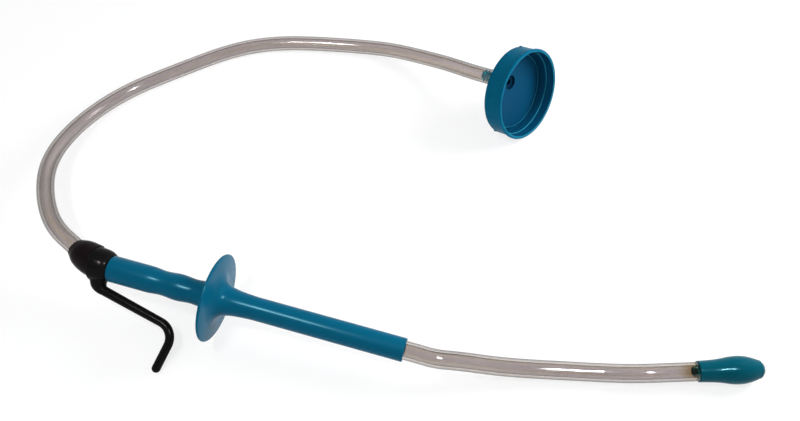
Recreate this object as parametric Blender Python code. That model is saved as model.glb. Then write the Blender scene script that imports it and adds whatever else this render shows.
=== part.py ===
"""A calf feeding tube as it lies on a floor: a screw cap for the milk container, a clear hose,
a gripped handle with a round mouth guard, a hanging hook and a bulb-shaped tip.

Metres, +Z up. The origin is on the floor, below the middle of the pieces other than the hose.
The handle's axis runs along +X, towards the bulb, and dips a little, because the guard props
it up behind and the bulb rests on the floor in front.
"""

import math

import bmesh
import bpy
import numpy as np
from mathutils import Euler, Matrix, Vector

MM = 0.001

# Clearances
SEAM = 0.4 * MM
SLIP = 0.35 * MM

# Hose
HOSE_RADIUS = 8.0 * MM
HOSE_WALL = 2.5 * MM
HOSE_SIDES_SETTING = 4
HOSE_STEP = 20.0 * MM
HOSE_STRAIGHT = 20.0 * MM
HOSE_CHANNEL = HOSE_RADIUS + SLIP

# Handle: stations are measured along its axis from the middle of the guard
HANDLE_PLACE = Vector((-0.1604, -0.1407))
HANDLE_DIP = math.radians(3.27)
GUARD_RADIUS = 38.7 * MM
GUARD_THICKNESS = 2.6 * MM
GRIP_REAR = -98.0 * MM
GRIP_RADIUS = 11.75 * MM
GRIP_EDGE = 1.1 * MM
FINGER_DIP = 1.0 * MM
FINGER_PITCH = 28.0 * MM
FINGER_FRONT = -20.5 * MM
FINGER_WAVES = 1.5
SLEEVE_FRONT = 168.0 * MM
SLEEVE_WALL = 1.8 * MM
SLEEVE_RADIUS = HOSE_CHANNEL + SLEEVE_WALL
SLEEVE_EDGE = 0.9 * MM
# The flares that carry the guard: their length, their height at the guard, their tightness
FRONT_FLARE = (35.0 * MM, 15.5 * MM, 3.2 * MM)
REAR_FLARE = (19.2 * MM, 12.0 * MM, 2.0 * MM)
HANDLE_STEPS = 36

# Where the hose bends behind the handle, and the soft boot round it
BEND_RADIUS = 78.0 * MM
BEND_ANGLE = math.radians(24.5)
BOOT_REAR = -136.6 * MM
BOOT_SWELL = 14.4 * MM
BOOT_RISE = 0.9 * MM
BOOT_LIP = 0.6 * MM
BOOT_RINGS = 12
CUTTER_REACH = 4.0 * MM
BOOT_MOUTH_RADIUS = HOSE_CHANNEL + BOOT_LIP
# The boot's shape: shares of its length and of its largest radius
BOOT_CROWN = ((0.0, 1.0), (0.31, 0.965), (0.56, 0.905), (0.72, 0.83), (0.86, 0.725), (1.0, 0.625))

# Hanging hook: its corners are measured forward of the eye's middle and out from the eye's axis
EYE_LENGTH = 16.0 * MM
EYE_STEP = 0.25 * MM
EYE_FRONT_RADIUS = GRIP_RADIUS + EYE_STEP
EYE_REAR_RADIUS = 15.0 * MM
EYE_SHIFT = 0.8 * MM
EYE_SLACK = 1.6 * MM
EYE_EDGE = 0.6 * MM
ROD_RADIUS = 3.9 * MM
ROD_ROOT_RADIUS = 7.5 * MM
ROD_ROOT_LENGTH = 11.0 * MM
ROD_ROOT_DROP = 3.0
ROD_STEP = 3.0 * MM
HOOK_ELBOW_RADIUS = 9.8 * MM
HOOK_CORNER_RADIUS = 15.0 * MM
HOOK_ROOT = (-0.4 * MM, 10.4 * MM)
HOOK_ELBOW = (-1.2 * MM, 19.2 * MM)
HOOK_CORNER = (78.8 * MM, 36.8 * MM)
HOOK_TIP = (71.4 * MM, 72.4 * MM)

# Screw cap: depths are measured back from the open rim
CAP_PLACE = Vector((0.0575, 0.1548))
CAP_TURN = math.radians(-26.3)
CAP_LEAN = math.radians(18.2)
CAP_DEPTH = 21.8 * MM
CAP_RADIUS = 45.4 * MM
CAP_WALL = 1.6 * MM
CAP_FLOOR = 3.2 * MM
FLOOR_DEPTH = CAP_DEPTH - CAP_FLOOR
MOUTH_RADIUS = CAP_RADIUS - CAP_WALL
RIM_STEP = 1.4 * MM
RIM_RADIUS = CAP_RADIUS + RIM_STEP
RIM_BAND = 3.0 * MM
RIM_EDGE = 0.8 * MM
FINE_EDGE = 0.4 * MM
THREAD_LEDGE_DEPTH = 9.1 * MM
THREAD_LEDGE_HEIGHT = 1.2 * MM
THREAD_LEDGE_RADIUS = MOUTH_RADIUS - THREAD_LEDGE_HEIGHT
SEAL_GROOVE = 3.6 * MM
SEAL_RIB_RADIUS = THREAD_LEDGE_RADIUS - SEAL_GROOVE
SEAL_RIB_WIDTH = 1.3 * MM
SEAL_RIB_HEIGHT = 2.2 * MM
BACK_EDGE = 2.0 * MM
CAP_STEPS = 48
GRIP_LUGS = 12
LUG_HEIGHT = 1.0 * MM
LUG_WIDTH = 3.4 * MM
LUG_LENGTH = 11.0 * MM
LUG_FADE = 4.0 * MM
LUG_SLOPE = 0.3 * MM
LUG_SEAT = 1.0 * MM
LUG_START = math.radians(3.0)

# Barbed spigots: on the cap, off its centre, and on the bulb
BARB_SLACK = 0.65 * MM
BARB_HEIGHT = 0.85 * MM
BARB_CREST = HOSE_RADIUS - HOSE_WALL - BARB_SLACK
BARB_ROOT = BARB_CREST - BARB_HEIGHT
BARB_PITCH = 4.3 * MM
BARB_FACE = 0.4 * MM
BARB_LAND = 0.6 * MM
SPIGOT_WALL = 1.1 * MM
SPIGOT_BORE = BARB_ROOT - SPIGOT_WALL
SPIGOT_NOSE = 1.0 * MM
SPIGOT_STEPS = 20
CAP_BARBS = 7
CAP_HOLE_RADIUS = 7.4 * MM
CAP_HOLE_DEPTH = 2.2 * MM
SPIGOT_OFF_CENTRE = 13.0 * MM
SPIGOT_ANGLE = math.radians(196.1)
BULB_BARBS = 4
# Where the hose runs straight onto the spigots: places before their shoulders
CAP_HOSE_MARKS = (44.0 * MM, 32.0 * MM, 21.0 * MM, 10.0 * MM, SEAM)
BULB_HOSE_MARKS = (37.0 * MM, 27.5 * MM, 18.5 * MM, 9.0 * MM, SEAM)

# Bulb tip: lengths are measured from its shoulder against the hose
BULB_PLACE = Vector((0.2480, -0.0866))
BULB_TURN = math.radians(17.6)
BULB_LENGTH = 55.1 * MM
BULB_RADIUS = 11.9 * MM
BULB_OUTLET = 4.2 * MM
BULB_FUNNEL = 18.0 * MM
BULB_EDGE = 0.7 * MM
# The bulb's shape: shares of its length and of its largest radius
BULB_CROWN = (
    (0.0, 0.748),
    (0.127, 0.77),
    (0.254, 0.803),
    (0.381, 0.874),
    (0.49, 0.958),
    (0.61, 1.0),
    (0.726, 0.962),
    (0.826, 0.857),
    (0.907, 0.723),
    (0.971, 0.58),
    (0.989, 0.47),
)
BULB_RINGS = 15
BULB_STEPS = 28

# The free hose's route over the floor, from the boot to the cap, chosen by hand. Its two ends
# are worked out, because they run straight out of the boot and straight onto the cap's spigot.
SUPPLY_ROUTE = (
    (-0.3477, -0.0970, 0.0428),
    (-0.3664, -0.0739, 0.0376),
    (-0.3820, -0.0476, 0.0312),
    (-0.3912, -0.0201, 0.0246),
    (-0.3943, 0.0061, 0.0186),
    (-0.3930, 0.0309, 0.0136),
    (-0.3877, 0.0537, 0.0102),
    (-0.3787, 0.0740, 0.0086),
    (-0.3668, 0.0922, 0.0082),
    (-0.3453, 0.1170, 0.0082),
    (-0.3222, 0.1412, 0.0082),
    (-0.2980, 0.1653, 0.0082),
    (-0.2709, 0.1862, 0.0082),
    (-0.2399, 0.2012, 0.0082),
    (-0.2063, 0.2108, 0.0082),
    (-0.1718, 0.2174, 0.0083),
    (-0.1367, 0.2215, 0.0095),
    (-0.1127, 0.2213, 0.0119),
    (-0.0883, 0.2172, 0.0158),
    (-0.0639, 0.2102, 0.0209),
    (-0.0398, 0.2012, 0.0273),
)
# The probe's route between the handle and the bulb
PROBE_ROUTE = (
    (0.0493, -0.1363, 0.0232),
    (0.0821, -0.1286, 0.0160),
    (0.1153, -0.1201, 0.0105),
    (0.1484, -0.1121, 0.0084),
    (0.1811, -0.1050, 0.0086),
)


def clear_scene():
    for obj in list(bpy.data.objects):
        bpy.data.objects.remove(obj, do_unlink=True)


def material(name, colour, roughness, transmission=0.0):
    made = bpy.data.materials.new(name)
    made.use_nodes = True
    shader = made.node_tree.nodes["Principled BSDF"]
    shader.inputs["Base Color"].default_value = (*colour, 1.0)
    shader.inputs["Roughness"].default_value = roughness
    shader.inputs["Metallic"].default_value = 0.0
    shader.inputs["Transmission Weight"].default_value = transmission
    made.diffuse_color = (*colour, 1.0)
    return made


def link(obj, parent=None):
    bpy.context.scene.collection.objects.link(obj)
    obj.parent = parent
    return obj


def axis_empty(name, place, turn, lean, parent=None):
    """An empty whose local Z points along a piece's axis."""
    empty = link(bpy.data.objects.new(name, None), parent)
    empty.location = place
    empty.rotation_euler = Euler((0.0, lean, turn))
    return empty


def finish(obj, look):
    obj.data.materials.clear()
    obj.data.materials.append(look)
    return obj


def make_guide(obj):
    """A cutter or a shape to be joined on: it isn't a piece of its own."""
    obj.hide_render = True
    obj.display_type = "WIRE"
    return obj


def combine(obj, other, operation):
    boolean = obj.modifiers.new(operation.lower(), "BOOLEAN")
    boolean.operation = operation
    boolean.solver = "EXACT"
    boolean.object = make_guide(other)


def shade(mesh):
    mesh.shade_smooth()
    mesh.set_sharp_from_angle(angle=math.radians(35.0))


def turned(name, outline, steps, parent=None):
    """Revolves an outline of (station, radius) points about local Z. The outline runs down the
    outside, from high stations to low ones, and back up the inside."""
    mesh = bpy.data.meshes.new(name)
    shape = bmesh.new()
    corners = [shape.verts.new((radius, 0.0, station)) for station, radius in outline]
    on_axis = outline[0][1] == 0.0 and outline[-1][1] == 0.0
    for start, end in zip(corners, corners[1:] if on_axis else corners[1:] + corners[:1]):
        shape.edges.new((start, end))
    shape.to_mesh(mesh)
    shape.free()
    obj = link(bpy.data.objects.new(name, mesh), parent)
    screw = obj.modifiers.new("turn", "SCREW")
    screw.axis = "Z"
    screw.steps = steps
    screw.render_steps = steps
    screw.use_merge_vertices = True
    screw.merge_threshold = 0.00001
    screw.use_smooth_shade = True
    return obj


def curve_object(name, points, radii, side_setting, parent=None):
    """A round bar along a line of points, with its own radius at each point."""
    curve = bpy.data.curves.new(name, "CURVE")
    curve.dimensions = "3D"
    curve.bevel_depth = 1.0
    curve.bevel_resolution = side_setting
    curve.use_fill_caps = True
    line = curve.splines.new("POLY")
    line.points.add(len(points) - 1)
    for slot, point, radius in zip(line.points, points, radii):
        slot.co = (*point, 1.0)
        slot.radius = radius
    return link(bpy.data.objects.new(name, curve), parent)


def swept(name, points, radii, side_setting, parent=None):
    """The same bar as a mesh, for joining and cutting."""
    bar = curve_object(name + "_line", points, radii, side_setting)
    bpy.context.view_layer.update()
    source = bar.evaluated_get(bpy.context.evaluated_depsgraph_get())
    mesh = bpy.data.meshes.new_from_object(source)
    mesh.name = name
    bpy.data.objects.remove(bar, do_unlink=True)
    return link(bpy.data.objects.new(name, mesh), parent)


def blended(stations, knots):
    """Radii at the given stations, on a smooth curve through (station, radius) knots."""
    places, sizes = np.array(sorted(knots)).T
    slopes = np.gradient(sizes, places)
    radii = []
    for station in stations:
        index = min(max(int(np.searchsorted(places, station)) - 1, 0), len(places) - 2)
        span = places[index + 1] - places[index]
        t = min(max((station - places[index]) / span, 0.0), 1.0)
        radii.append(
            (2 * t**3 - 3 * t**2 + 1) * sizes[index]
            + (t**3 - 2 * t**2 + t) * span * slopes[index]
            + (3 * t**2 - 2 * t**3) * sizes[index + 1]
            + (t**3 - t**2) * span * slopes[index + 1]
        )
    return [float(radius) for radius in radii]


def smooth_route(points, step):
    """Evenly spaced points on the natural cubic spline through a route's own points."""
    route = np.array([tuple(point) for point in points])
    runs = np.linalg.norm(np.diff(route, axis=0), axis=1)
    along = np.concatenate(([0.0], np.cumsum(runs)))
    count = len(route)
    system = np.eye(count)
    bends = np.zeros_like(route)
    for i in range(1, count - 1):
        before, after = runs[i - 1], runs[i]
        system[i, i - 1 : i + 2] = before, 2 * (before + after), after
        bends[i] = 6 * ((route[i + 1] - route[i]) / after - (route[i] - route[i - 1]) / before)
    bends = np.linalg.solve(system, bends)

    def at(distance):
        i = min(max(int(np.searchsorted(along, distance)) - 1, 0), count - 2)
        run, a, b = runs[i], along[i + 1] - distance, distance - along[i]
        return (
            (bends[i] * a**3 + bends[i + 1] * b**3) / (6 * run)
            + (route[i] / run - bends[i] * run / 6) * a
            + (route[i + 1] / run - bends[i + 1] * run / 6) * b
        )

    fine = np.array([at(distance) for distance in np.linspace(0.0, along[-1], 40 * count)])
    travelled = np.concatenate(([0.0], np.cumsum(np.linalg.norm(np.diff(fine, axis=0), axis=1))))
    parts = max(2, round(travelled[-1] / step))
    marks = np.linspace(0.0, travelled[-1], parts + 1)
    return [Vector([float(np.interp(mark, travelled, fine[:, k])) for k in range(3)]) for mark in marks]


def hose_piece(name, points, look):
    """A length of hose with its bore: a round tube thickened inwards to its wall."""
    tube = curve_object(name, points, [HOSE_RADIUS] * len(points), HOSE_SIDES_SETTING)
    tube.data.use_fill_caps = False
    wall = tube.modifiers.new("wall", "SOLIDIFY")
    wall.thickness = HOSE_WALL
    wall.offset = -1.0
    wall.use_even_offset = True
    wall.use_rim = True
    tube.data.materials.append(look)
    return tube


def barbs(first, count, direction):
    """Saw-tooth outline points of a barbed stem, from its root to its end."""
    points = []
    for i in range(count):
        steps = (BARB_FACE, 2 * BARB_FACE, 2 * BARB_FACE + BARB_LAND, BARB_PITCH - SLIP)
        radii = (BARB_ROOT, BARB_CREST, BARB_CREST, BARB_ROOT)
        for step, radius in zip(steps, radii):
            points.append((first + direction * (i * BARB_PITCH + step), radius))
    return points


def round_edge(centre, radius, first, last, parts):
    """Outline points on an arc, from one angle to another, in degrees off the axis."""
    angles = [math.radians(first + (last - first) * i / parts) for i in range(parts + 1)]
    return [(centre[0] + radius * math.cos(a), centre[1] + radius * math.sin(a)) for a in angles]


def flare(distance, shape):
    """How far a flare stands out, at a distance from the guard's face."""
    length, height, tightness = shape
    if distance >= length:
        return 0.0
    near, far = 1 / tightness, 1 / (length + tightness)
    return height * (1 / (distance + tightness) - far) / (near - far)


def grip_radius(station):
    """The grip narrows and swells again where fingers close round it."""
    waves = (FINGER_FRONT - station) / FINGER_PITCH
    if waves > FINGER_WAVES:
        return GRIP_RADIUS
    return GRIP_RADIUS - FINGER_DIP * (1 + math.cos(2 * math.pi * max(waves, 0.0))) / 2


def handle_axis():
    height = GUARD_RADIUS * math.cos(HANDLE_DIP)
    place = (HANDLE_PLACE.x, HANDLE_PLACE.y, height)
    return axis_empty("handle_axis", place, 0.0, math.pi / 2 + HANDLE_DIP)


def hose_bend(distance):
    """Centre and direction of the hose behind the handle, in the handle's own axes, at a
    distance back from the grip's rear face. It bends sideways on one arc, then runs straight."""
    angle = min(distance / BEND_RADIUS, BEND_ANGLE)
    heading = Vector((0.0, math.sin(angle), -math.cos(angle)))
    side = BEND_RADIUS * (1 - math.cos(angle))
    centre = Vector((0.0, side, GRIP_REAR - BEND_RADIUS * math.sin(angle)))
    return centre + heading * (distance - BEND_RADIUS * angle), heading


def mouth_distance():
    """How far back along the hose the boot's mouth is."""
    past_bend = GRIP_REAR - BOOT_REAR - BEND_RADIUS * math.sin(BEND_ANGLE)
    return BEND_RADIUS * BEND_ANGLE + past_bend / math.cos(BEND_ANGLE)


def make_handle(axis, look):
    """The handle is one moulding: a gripped rear, a round guard and a long sleeve."""
    half = GUARD_THICKNESS / 2
    shares = [i / 10 for i in range(11)]
    edge = (SLEEVE_FRONT - SLEEVE_EDGE, SLEEVE_RADIUS - SLEEVE_EDGE)
    outline = [(SLEEVE_FRONT, HOSE_CHANNEL)] + round_edge(edge, SLEEVE_EDGE, 0, 90, 3)
    for share in reversed(shares):
        distance = FRONT_FLARE[0] * share**2.5
        outline.append((half + distance, SLEEVE_RADIUS + flare(distance, FRONT_FLARE)))
    outline += round_edge((0.0, GUARD_RADIUS - half), half, 0, 180, 4)
    for share in shares[:-1]:
        distance = REAR_FLARE[0] * share**2
        station = -half - distance
        outline.append((station, grip_radius(station) + flare(distance, REAR_FLARE)))
    rings = round(8 * FINGER_WAVES)
    for i in range(rings + 1):
        station = FINGER_FRONT - FINGER_WAVES * FINGER_PITCH * i / rings
        outline.append((station, grip_radius(station)))
    outline += round_edge((GRIP_REAR + GRIP_EDGE, GRIP_RADIUS - GRIP_EDGE), GRIP_EDGE, 90, 180, 3)
    outline.append((GRIP_REAR, HOSE_CHANNEL))
    return finish(turned("handle", outline, HANDLE_STEPS, axis), look)


def make_boot(axis, look):
    """The soft boot behind the hook's eye: it leans over with the hose that comes out of it."""
    first = -(eye_rear() - SEAM - GRIP_REAR)
    start = Vector((0.0, hose_bend(first)[0].y + BOOT_RISE, GRIP_REAR - first))
    end, heading = hose_bend(mouth_distance())
    shares = [math.sin(math.pi / 2 * i / BOOT_RINGS) for i in range(BOOT_RINGS + 1)]
    line = []
    for share in shares:
        centre = hose_bend(first + share * (mouth_distance() - first))[0]
        line.append(centre + Vector((0.0, BOOT_RISE * (1 - share**4), 0.0)))
    # The first and last steps run square to the two end faces
    line[0] = start
    line.insert(1, start - Vector((0.0, 0.0, SEAM)))
    shares.insert(1, 0.0)
    line[-2] = end - heading * (end - line[-2]).length
    radii = [BOOT_SWELL * share for share in blended(shares, BOOT_CROWN)]
    radii[-1] = BOOT_MOUTH_RADIUS
    boot = swept("hose_boot", line, radii, 12, axis)
    distances = np.linspace(first - CUTTER_REACH, mouth_distance() + CUTTER_REACH, 10)
    channel = [hose_bend(float(distance))[0] for distance in distances]
    cutter = swept("boot_channel", channel, [HOSE_CHANNEL] * len(channel), 6, axis)
    combine(boot, cutter, "DIFFERENCE")
    shade(boot.data)
    return finish(boot, look)


def eye_rear():
    return GRIP_REAR - SEAM - EYE_LENGTH


def rounded_path(corners, radii, step):
    """A line through corners that are rounded to the given radii, as evenly as the step allows."""
    path = [corners[0]]
    for before, corner, after, radius in zip(corners, corners[1:], corners[2:], radii):
        into = (corner - before).normalized()
        out = (after - corner).normalized()
        angle = into.angle(out)
        cut = radius * math.tan(angle / 2)
        centre = corner + (out - into).normalized() * (radius / math.cos(angle / 2))
        first = corner - into * cut - centre
        turn_axis = into.cross(out).normalized()
        parts = max(3, round(radius * angle / step))
        for i in range(parts + 1):
            path.append(centre + Matrix.Rotation(angle * i / parts, 3, turn_axis) @ first)
    path.append(corners[-1])
    return path


def make_hook(axis, look):
    """The hanging hook: an eye loose round the hose, and a round rod beside the handle. Its
    origin is on the eye's own axis, about which it turns."""
    half = EYE_LENGTH / 2
    middle = eye_rear() + half
    eye_bore = HOSE_RADIUS + EYE_SLACK
    knots = (
        (half, EYE_FRONT_RADIUS),
        (half - 0.22 * EYE_LENGTH, EYE_FRONT_RADIUS + 0.6 * (EYE_REAR_RADIUS - EYE_FRONT_RADIUS)),
        (half - 0.56 * EYE_LENGTH, EYE_FRONT_RADIUS + 0.94 * (EYE_REAR_RADIUS - EYE_FRONT_RADIUS)),
        (-half, EYE_REAR_RADIUS),
    )
    stations = [half - share * EYE_LENGTH for share in (0.05, 0.13, 0.22, 0.35, 0.56, 0.8, 1.0)]
    outline = [(half, eye_bore), (half, EYE_FRONT_RADIUS - EYE_EDGE)]
    outline += list(zip(stations, blended(stations, knots)))
    outline += [(-half, eye_bore)]
    tip_height = axis.location.z - (middle + HOOK_TIP[0]) * math.sin(HANDLE_DIP)
    droop = math.asin((tip_height - ROD_RADIUS) / HOOK_TIP[1])
    joint = axis_empty("hook_joint", (0.0, EYE_SHIFT, middle), droop - math.pi / 2, 0.0, axis)
    hook = turned("hang_hook", outline, HANDLE_STEPS, joint)

    corners = [Vector((out, 0.0, forward)) for forward, out in (HOOK_ROOT, HOOK_ELBOW, HOOK_CORNER, HOOK_TIP)]
    path = rounded_path(corners, (HOOK_ELBOW_RADIUS, HOOK_CORNER_RADIUS), ROD_STEP)
    heading = (path[-1] - path[-2]).normalized()
    travelled = 0.0
    radii = []
    for i, point in enumerate(path):
        travelled += (point - path[i - 1]).length if i else 0.0
        spread = math.exp(-((travelled / ROD_ROOT_LENGTH) ** ROD_ROOT_DROP))
        radii.append(ROD_RADIUS + (ROD_ROOT_RADIUS - ROD_RADIUS) * spread)
    for angle in (30.0, 55.0, 76.0):
        path.append(corners[-1] + heading * ROD_RADIUS * math.sin(math.radians(angle)))
        radii.append(ROD_RADIUS * math.cos(math.radians(angle)))
    rod = swept("hook_rod", path, radii, 5, joint)
    combine(hook, rod, "UNION")
    return finish(hook, look)


def spigot_outline(root, count, inner_end):
    """A barbed stem about local Z, closed on the axis, from inside its parent to its end."""
    last = root - count * BARB_PITCH - SPIGOT_NOSE
    outline = [(inner_end, 0.0), (inner_end, BARB_ROOT)]
    outline += barbs(root, count, -1.0)
    outline += [(last, BARB_ROOT - BARB_FACE), (last, 0.0)]
    return outline


def spigot_seat():
    """Where the spigot stands on the cap, in the cap's own axes."""
    return Vector((math.cos(SPIGOT_ANGLE), math.sin(SPIGOT_ANGLE), 0.0)) * SPIGOT_OFF_CENTRE


def cap_axis():
    rest = max(
        (CAP_DEPTH - BACK_EDGE) * math.sin(CAP_LEAN)
        + (CAP_RADIUS + LUG_HEIGHT) * math.cos(CAP_LEAN),
        RIM_RADIUS * math.cos(CAP_LEAN),
    )
    place = (CAP_PLACE.x, CAP_PLACE.y, rest)
    return axis_empty("cap_axis", place, CAP_TURN, math.pi / 2 - CAP_LEAN)


def make_lugs(axis):
    """The grip lugs round the cap's skirt, as one shape: wedges that fade out to the front."""
    mesh = bpy.data.meshes.new("cap_lugs")
    shape = bmesh.new()
    rear, front = -CAP_DEPTH + BACK_EDGE, -CAP_DEPTH + BACK_EDGE + LUG_LENGTH
    inside, outside = CAP_RADIUS - LUG_SEAT, CAP_RADIUS + LUG_HEIGHT
    half = LUG_WIDTH / 2
    slope = (outside - LUG_SLOPE, front - LUG_FADE)
    section = ((inside, rear), (outside, rear), slope, (inside, front))
    for i in range(GRIP_LUGS):
        turn = Matrix.Rotation(LUG_START + 2 * math.pi * i / GRIP_LUGS, 3, "Z")
        sides = []
        for offset in (-half, half):
            width = [offset if radius == inside else 0.55 * offset for radius, _ in section]
            sides.append(
                [shape.verts.new(turn @ Vector((r, w, z))) for (r, z), w in zip(section, width)]
            )
        low, high = sides
        shape.faces.new(low)
        shape.faces.new(reversed(high))
        for k in range(4):
            following = (k + 1) % 4
            shape.faces.new((low[k], high[k], high[following], low[following]))
    bmesh.ops.recalc_face_normals(shape, faces=shape.faces)
    shape.to_mesh(mesh)
    shape.free()
    return link(bpy.data.objects.new("cap_lugs", mesh), axis)


def make_cap(axis, look):
    """The screw cap: a wide skirt with a thread ledge and a sealing rib inside, grip lugs
    outside and a barbed spigot for the hose, off the centre of its back."""
    rib_in = SEAL_RIB_RADIUS - SEAL_RIB_WIDTH
    rib_depth = FLOOR_DEPTH - SEAL_RIB_HEIGHT
    outline = [
        (-FLOOR_DEPTH, 0.0),
        (-FLOOR_DEPTH, rib_in - FINE_EDGE),
        (-FLOOR_DEPTH + FINE_EDGE, rib_in),
        (-rib_depth - FINE_EDGE, rib_in),
        (-rib_depth, rib_in + FINE_EDGE),
        (-rib_depth, SEAL_RIB_RADIUS - FINE_EDGE),
        (-rib_depth - FINE_EDGE, SEAL_RIB_RADIUS),
        (-FLOOR_DEPTH, SEAL_RIB_RADIUS),
        (-FLOOR_DEPTH, THREAD_LEDGE_RADIUS - FINE_EDGE),
        (-FLOOR_DEPTH + FINE_EDGE, THREAD_LEDGE_RADIUS),
        (-THREAD_LEDGE_DEPTH - FINE_EDGE, THREAD_LEDGE_RADIUS),
        (-THREAD_LEDGE_DEPTH, THREAD_LEDGE_RADIUS + FINE_EDGE),
        (-THREAD_LEDGE_DEPTH, MOUTH_RADIUS),
        (-FINE_EDGE, MOUTH_RADIUS),
        (0.0, MOUTH_RADIUS + FINE_EDGE),
        (0.0, RIM_RADIUS - RIM_EDGE),
        (-0.3 * RIM_EDGE, RIM_RADIUS - 0.3 * RIM_EDGE),
        (-RIM_EDGE, RIM_RADIUS),
        (-RIM_BAND + RIM_EDGE, RIM_RADIUS),
        (-RIM_BAND, CAP_RADIUS),
        (-CAP_DEPTH + BACK_EDGE, CAP_RADIUS),
        (-CAP_DEPTH + 0.6 * BACK_EDGE, CAP_RADIUS - 0.13 * BACK_EDGE),
        (-CAP_DEPTH + 0.13 * BACK_EDGE, CAP_RADIUS - 0.6 * BACK_EDGE),
        (-CAP_DEPTH, CAP_RADIUS - BACK_EDGE),
        (-CAP_DEPTH, 0.0),
    ]
    cap = turned("screw_cap", outline, CAP_STEPS, axis)
    combine(cap, make_lugs(axis), "UNION")

    stem_outline = spigot_outline(-CAP_DEPTH, CAP_BARBS, -CAP_DEPTH + CAP_FLOOR / 2)
    stem = turned("cap_spigot", stem_outline, SPIGOT_STEPS, axis)
    stem.location = spigot_seat()
    combine(cap, stem, "UNION")
    above = -FLOOR_DEPTH + CAP_FLOOR
    end = -CAP_DEPTH - (CAP_BARBS + 1) * BARB_PITCH
    bore_outline = [
        (above, 0.0),
        (above, CAP_HOLE_RADIUS),
        (-FLOOR_DEPTH, CAP_HOLE_RADIUS),
        (-FLOOR_DEPTH - CAP_HOLE_DEPTH, SPIGOT_BORE),
        (end, SPIGOT_BORE),
        (end, 0.0),
    ]
    bore = turned("cap_bore", bore_outline, SPIGOT_STEPS, axis)
    bore.location = spigot_seat()
    combine(cap, bore, "DIFFERENCE")
    return finish(cap, look)


def make_bulb(look):
    """The bulb tip: smooth and blunt, with a bore right through and its spigot in the hose."""
    place = (BULB_PLACE.x, BULB_PLACE.y, BULB_RADIUS)
    axis = axis_empty("bulb_axis", place, BULB_TURN, math.pi / 2)
    shares = [math.sin(math.pi / 2 * (1 - i / BULB_RINGS)) for i in range(1, BULB_RINGS)]
    outline = [(BULB_LENGTH - BULB_EDGE, BULB_OUTLET), (BULB_LENGTH, BULB_OUTLET + BULB_EDGE)]
    for share, radius in zip(shares, blended(shares, BULB_CROWN)):
        outline.append((BULB_LENGTH * share, BULB_RADIUS * radius))
    neck = BULB_RADIUS * BULB_CROWN[0][1]
    outline += [(BULB_EDGE, neck), (0.0, neck - BULB_EDGE), (0.0, BARB_ROOT)]
    outline += barbs(0.0, BULB_BARBS, -1.0)
    last = -BULB_BARBS * BARB_PITCH - SPIGOT_NOSE
    outline += [(last, BARB_ROOT - BARB_FACE), (last, SPIGOT_BORE)]
    outline += [(BULB_FUNNEL / 2, SPIGOT_BORE), (BULB_FUNNEL, BULB_OUTLET)]
    return axis, finish(turned("tip_bulb", outline, BULB_STEPS, axis), look)


def straight_out(start, heading, lengths):
    return [start + heading * length for length in lengths]


def along_axis(empty):
    return (empty.matrix_world.to_3x3() @ Vector((0.0, 0.0, 1.0))).normalized()


def make_hoses(handle, cap, bulb, look):
    """One hose from the cap to the bulb, as three lengths: the free one on the floor, the one
    that the boot and the handle hold, and the probe in front."""
    bpy.context.view_layer.update()
    to_handle = handle.matrix_world
    mouth, heading = hose_bend(mouth_distance())
    mouth = to_handle @ mouth
    heading = (to_handle.to_3x3() @ heading).normalized()

    last_held = mouth_distance() - SEAM
    held = [to_handle @ hose_bend(last_held * i / 8)[0] for i in range(8, -1, -1)]
    for share in (0.25, 0.6, 1.0):
        station = GRIP_REAR + share * (SLEEVE_FRONT - SEAM / 2 - GRIP_REAR)
        held.append(to_handle @ Vector((0.0, 0.0, station)))
    hose_piece("handle_hose", held, look)

    front = to_handle @ Vector((0.0, 0.0, SLEEVE_FRONT))
    shoulder = bulb.matrix_world.translation
    probe = straight_out(front, along_axis(handle), (SEAM / 2, 0.6 * HOSE_STRAIGHT, 1.2 * HOSE_STRAIGHT))
    probe += [Vector(point) for point in PROBE_ROUTE]
    probe += straight_out(shoulder, along_axis(bulb), [-mark for mark in BULB_HOSE_MARKS])
    hose_piece("probe_tube", smooth_route(probe, HOSE_STEP), look)

    back = cap.matrix_world @ (spigot_seat() - Vector((0.0, 0.0, CAP_DEPTH)))
    supply = straight_out(mouth, heading, (SEAM / 2, HOSE_STRAIGHT / 2, HOSE_STRAIGHT))
    supply += [Vector(point) for point in SUPPLY_ROUTE]
    supply += straight_out(back, along_axis(cap), [-mark for mark in CAP_HOSE_MARKS])
    hose_piece("supply_hose", smooth_route(supply, HOSE_STEP), look)


def main():
    clear_scene()
    teal = material("teal plastic", (0.004, 0.135, 0.235), 0.28)
    cap_teal = material("cap plastic", (0.004, 0.115, 0.185), 0.35)
    black = material("black plastic", (0.012, 0.011, 0.012), 0.3)
    rubber = material("black rubber", (0.014, 0.012, 0.012), 0.42)
    clear = material("clear hose", (0.62, 0.58, 0.54), 0.15, transmission=0.8)
    handle = handle_axis()
    make_handle(handle, teal)
    make_boot(handle, rubber)
    make_hook(handle, black)
    cap = cap_axis()
    make_cap(cap, cap_teal)
    bulb, _ = make_bulb(teal)
    make_hoses(handle, cap, bulb, clear)


main()
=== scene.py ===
"""A calf feeding tube as it lies on a floor: a screw cap for the milk container, a clear hose, a
gripped handle with a round mouth guard, a hanging hook and a bulb-shaped tip.

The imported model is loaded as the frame. Each of its nodes is stood for by a finer piece here,
made in the same place from the same sizes. Metres, +Z up.
"""

import math

import bmesh
import bpy
import numpy as np
from bpy.props import FloatProperty, FloatVectorProperty, IntProperty, PointerProperty
from bpy.types import Operator, Panel, PropertyGroup
from mathutils import Color, Euler, Matrix, Vector


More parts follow.
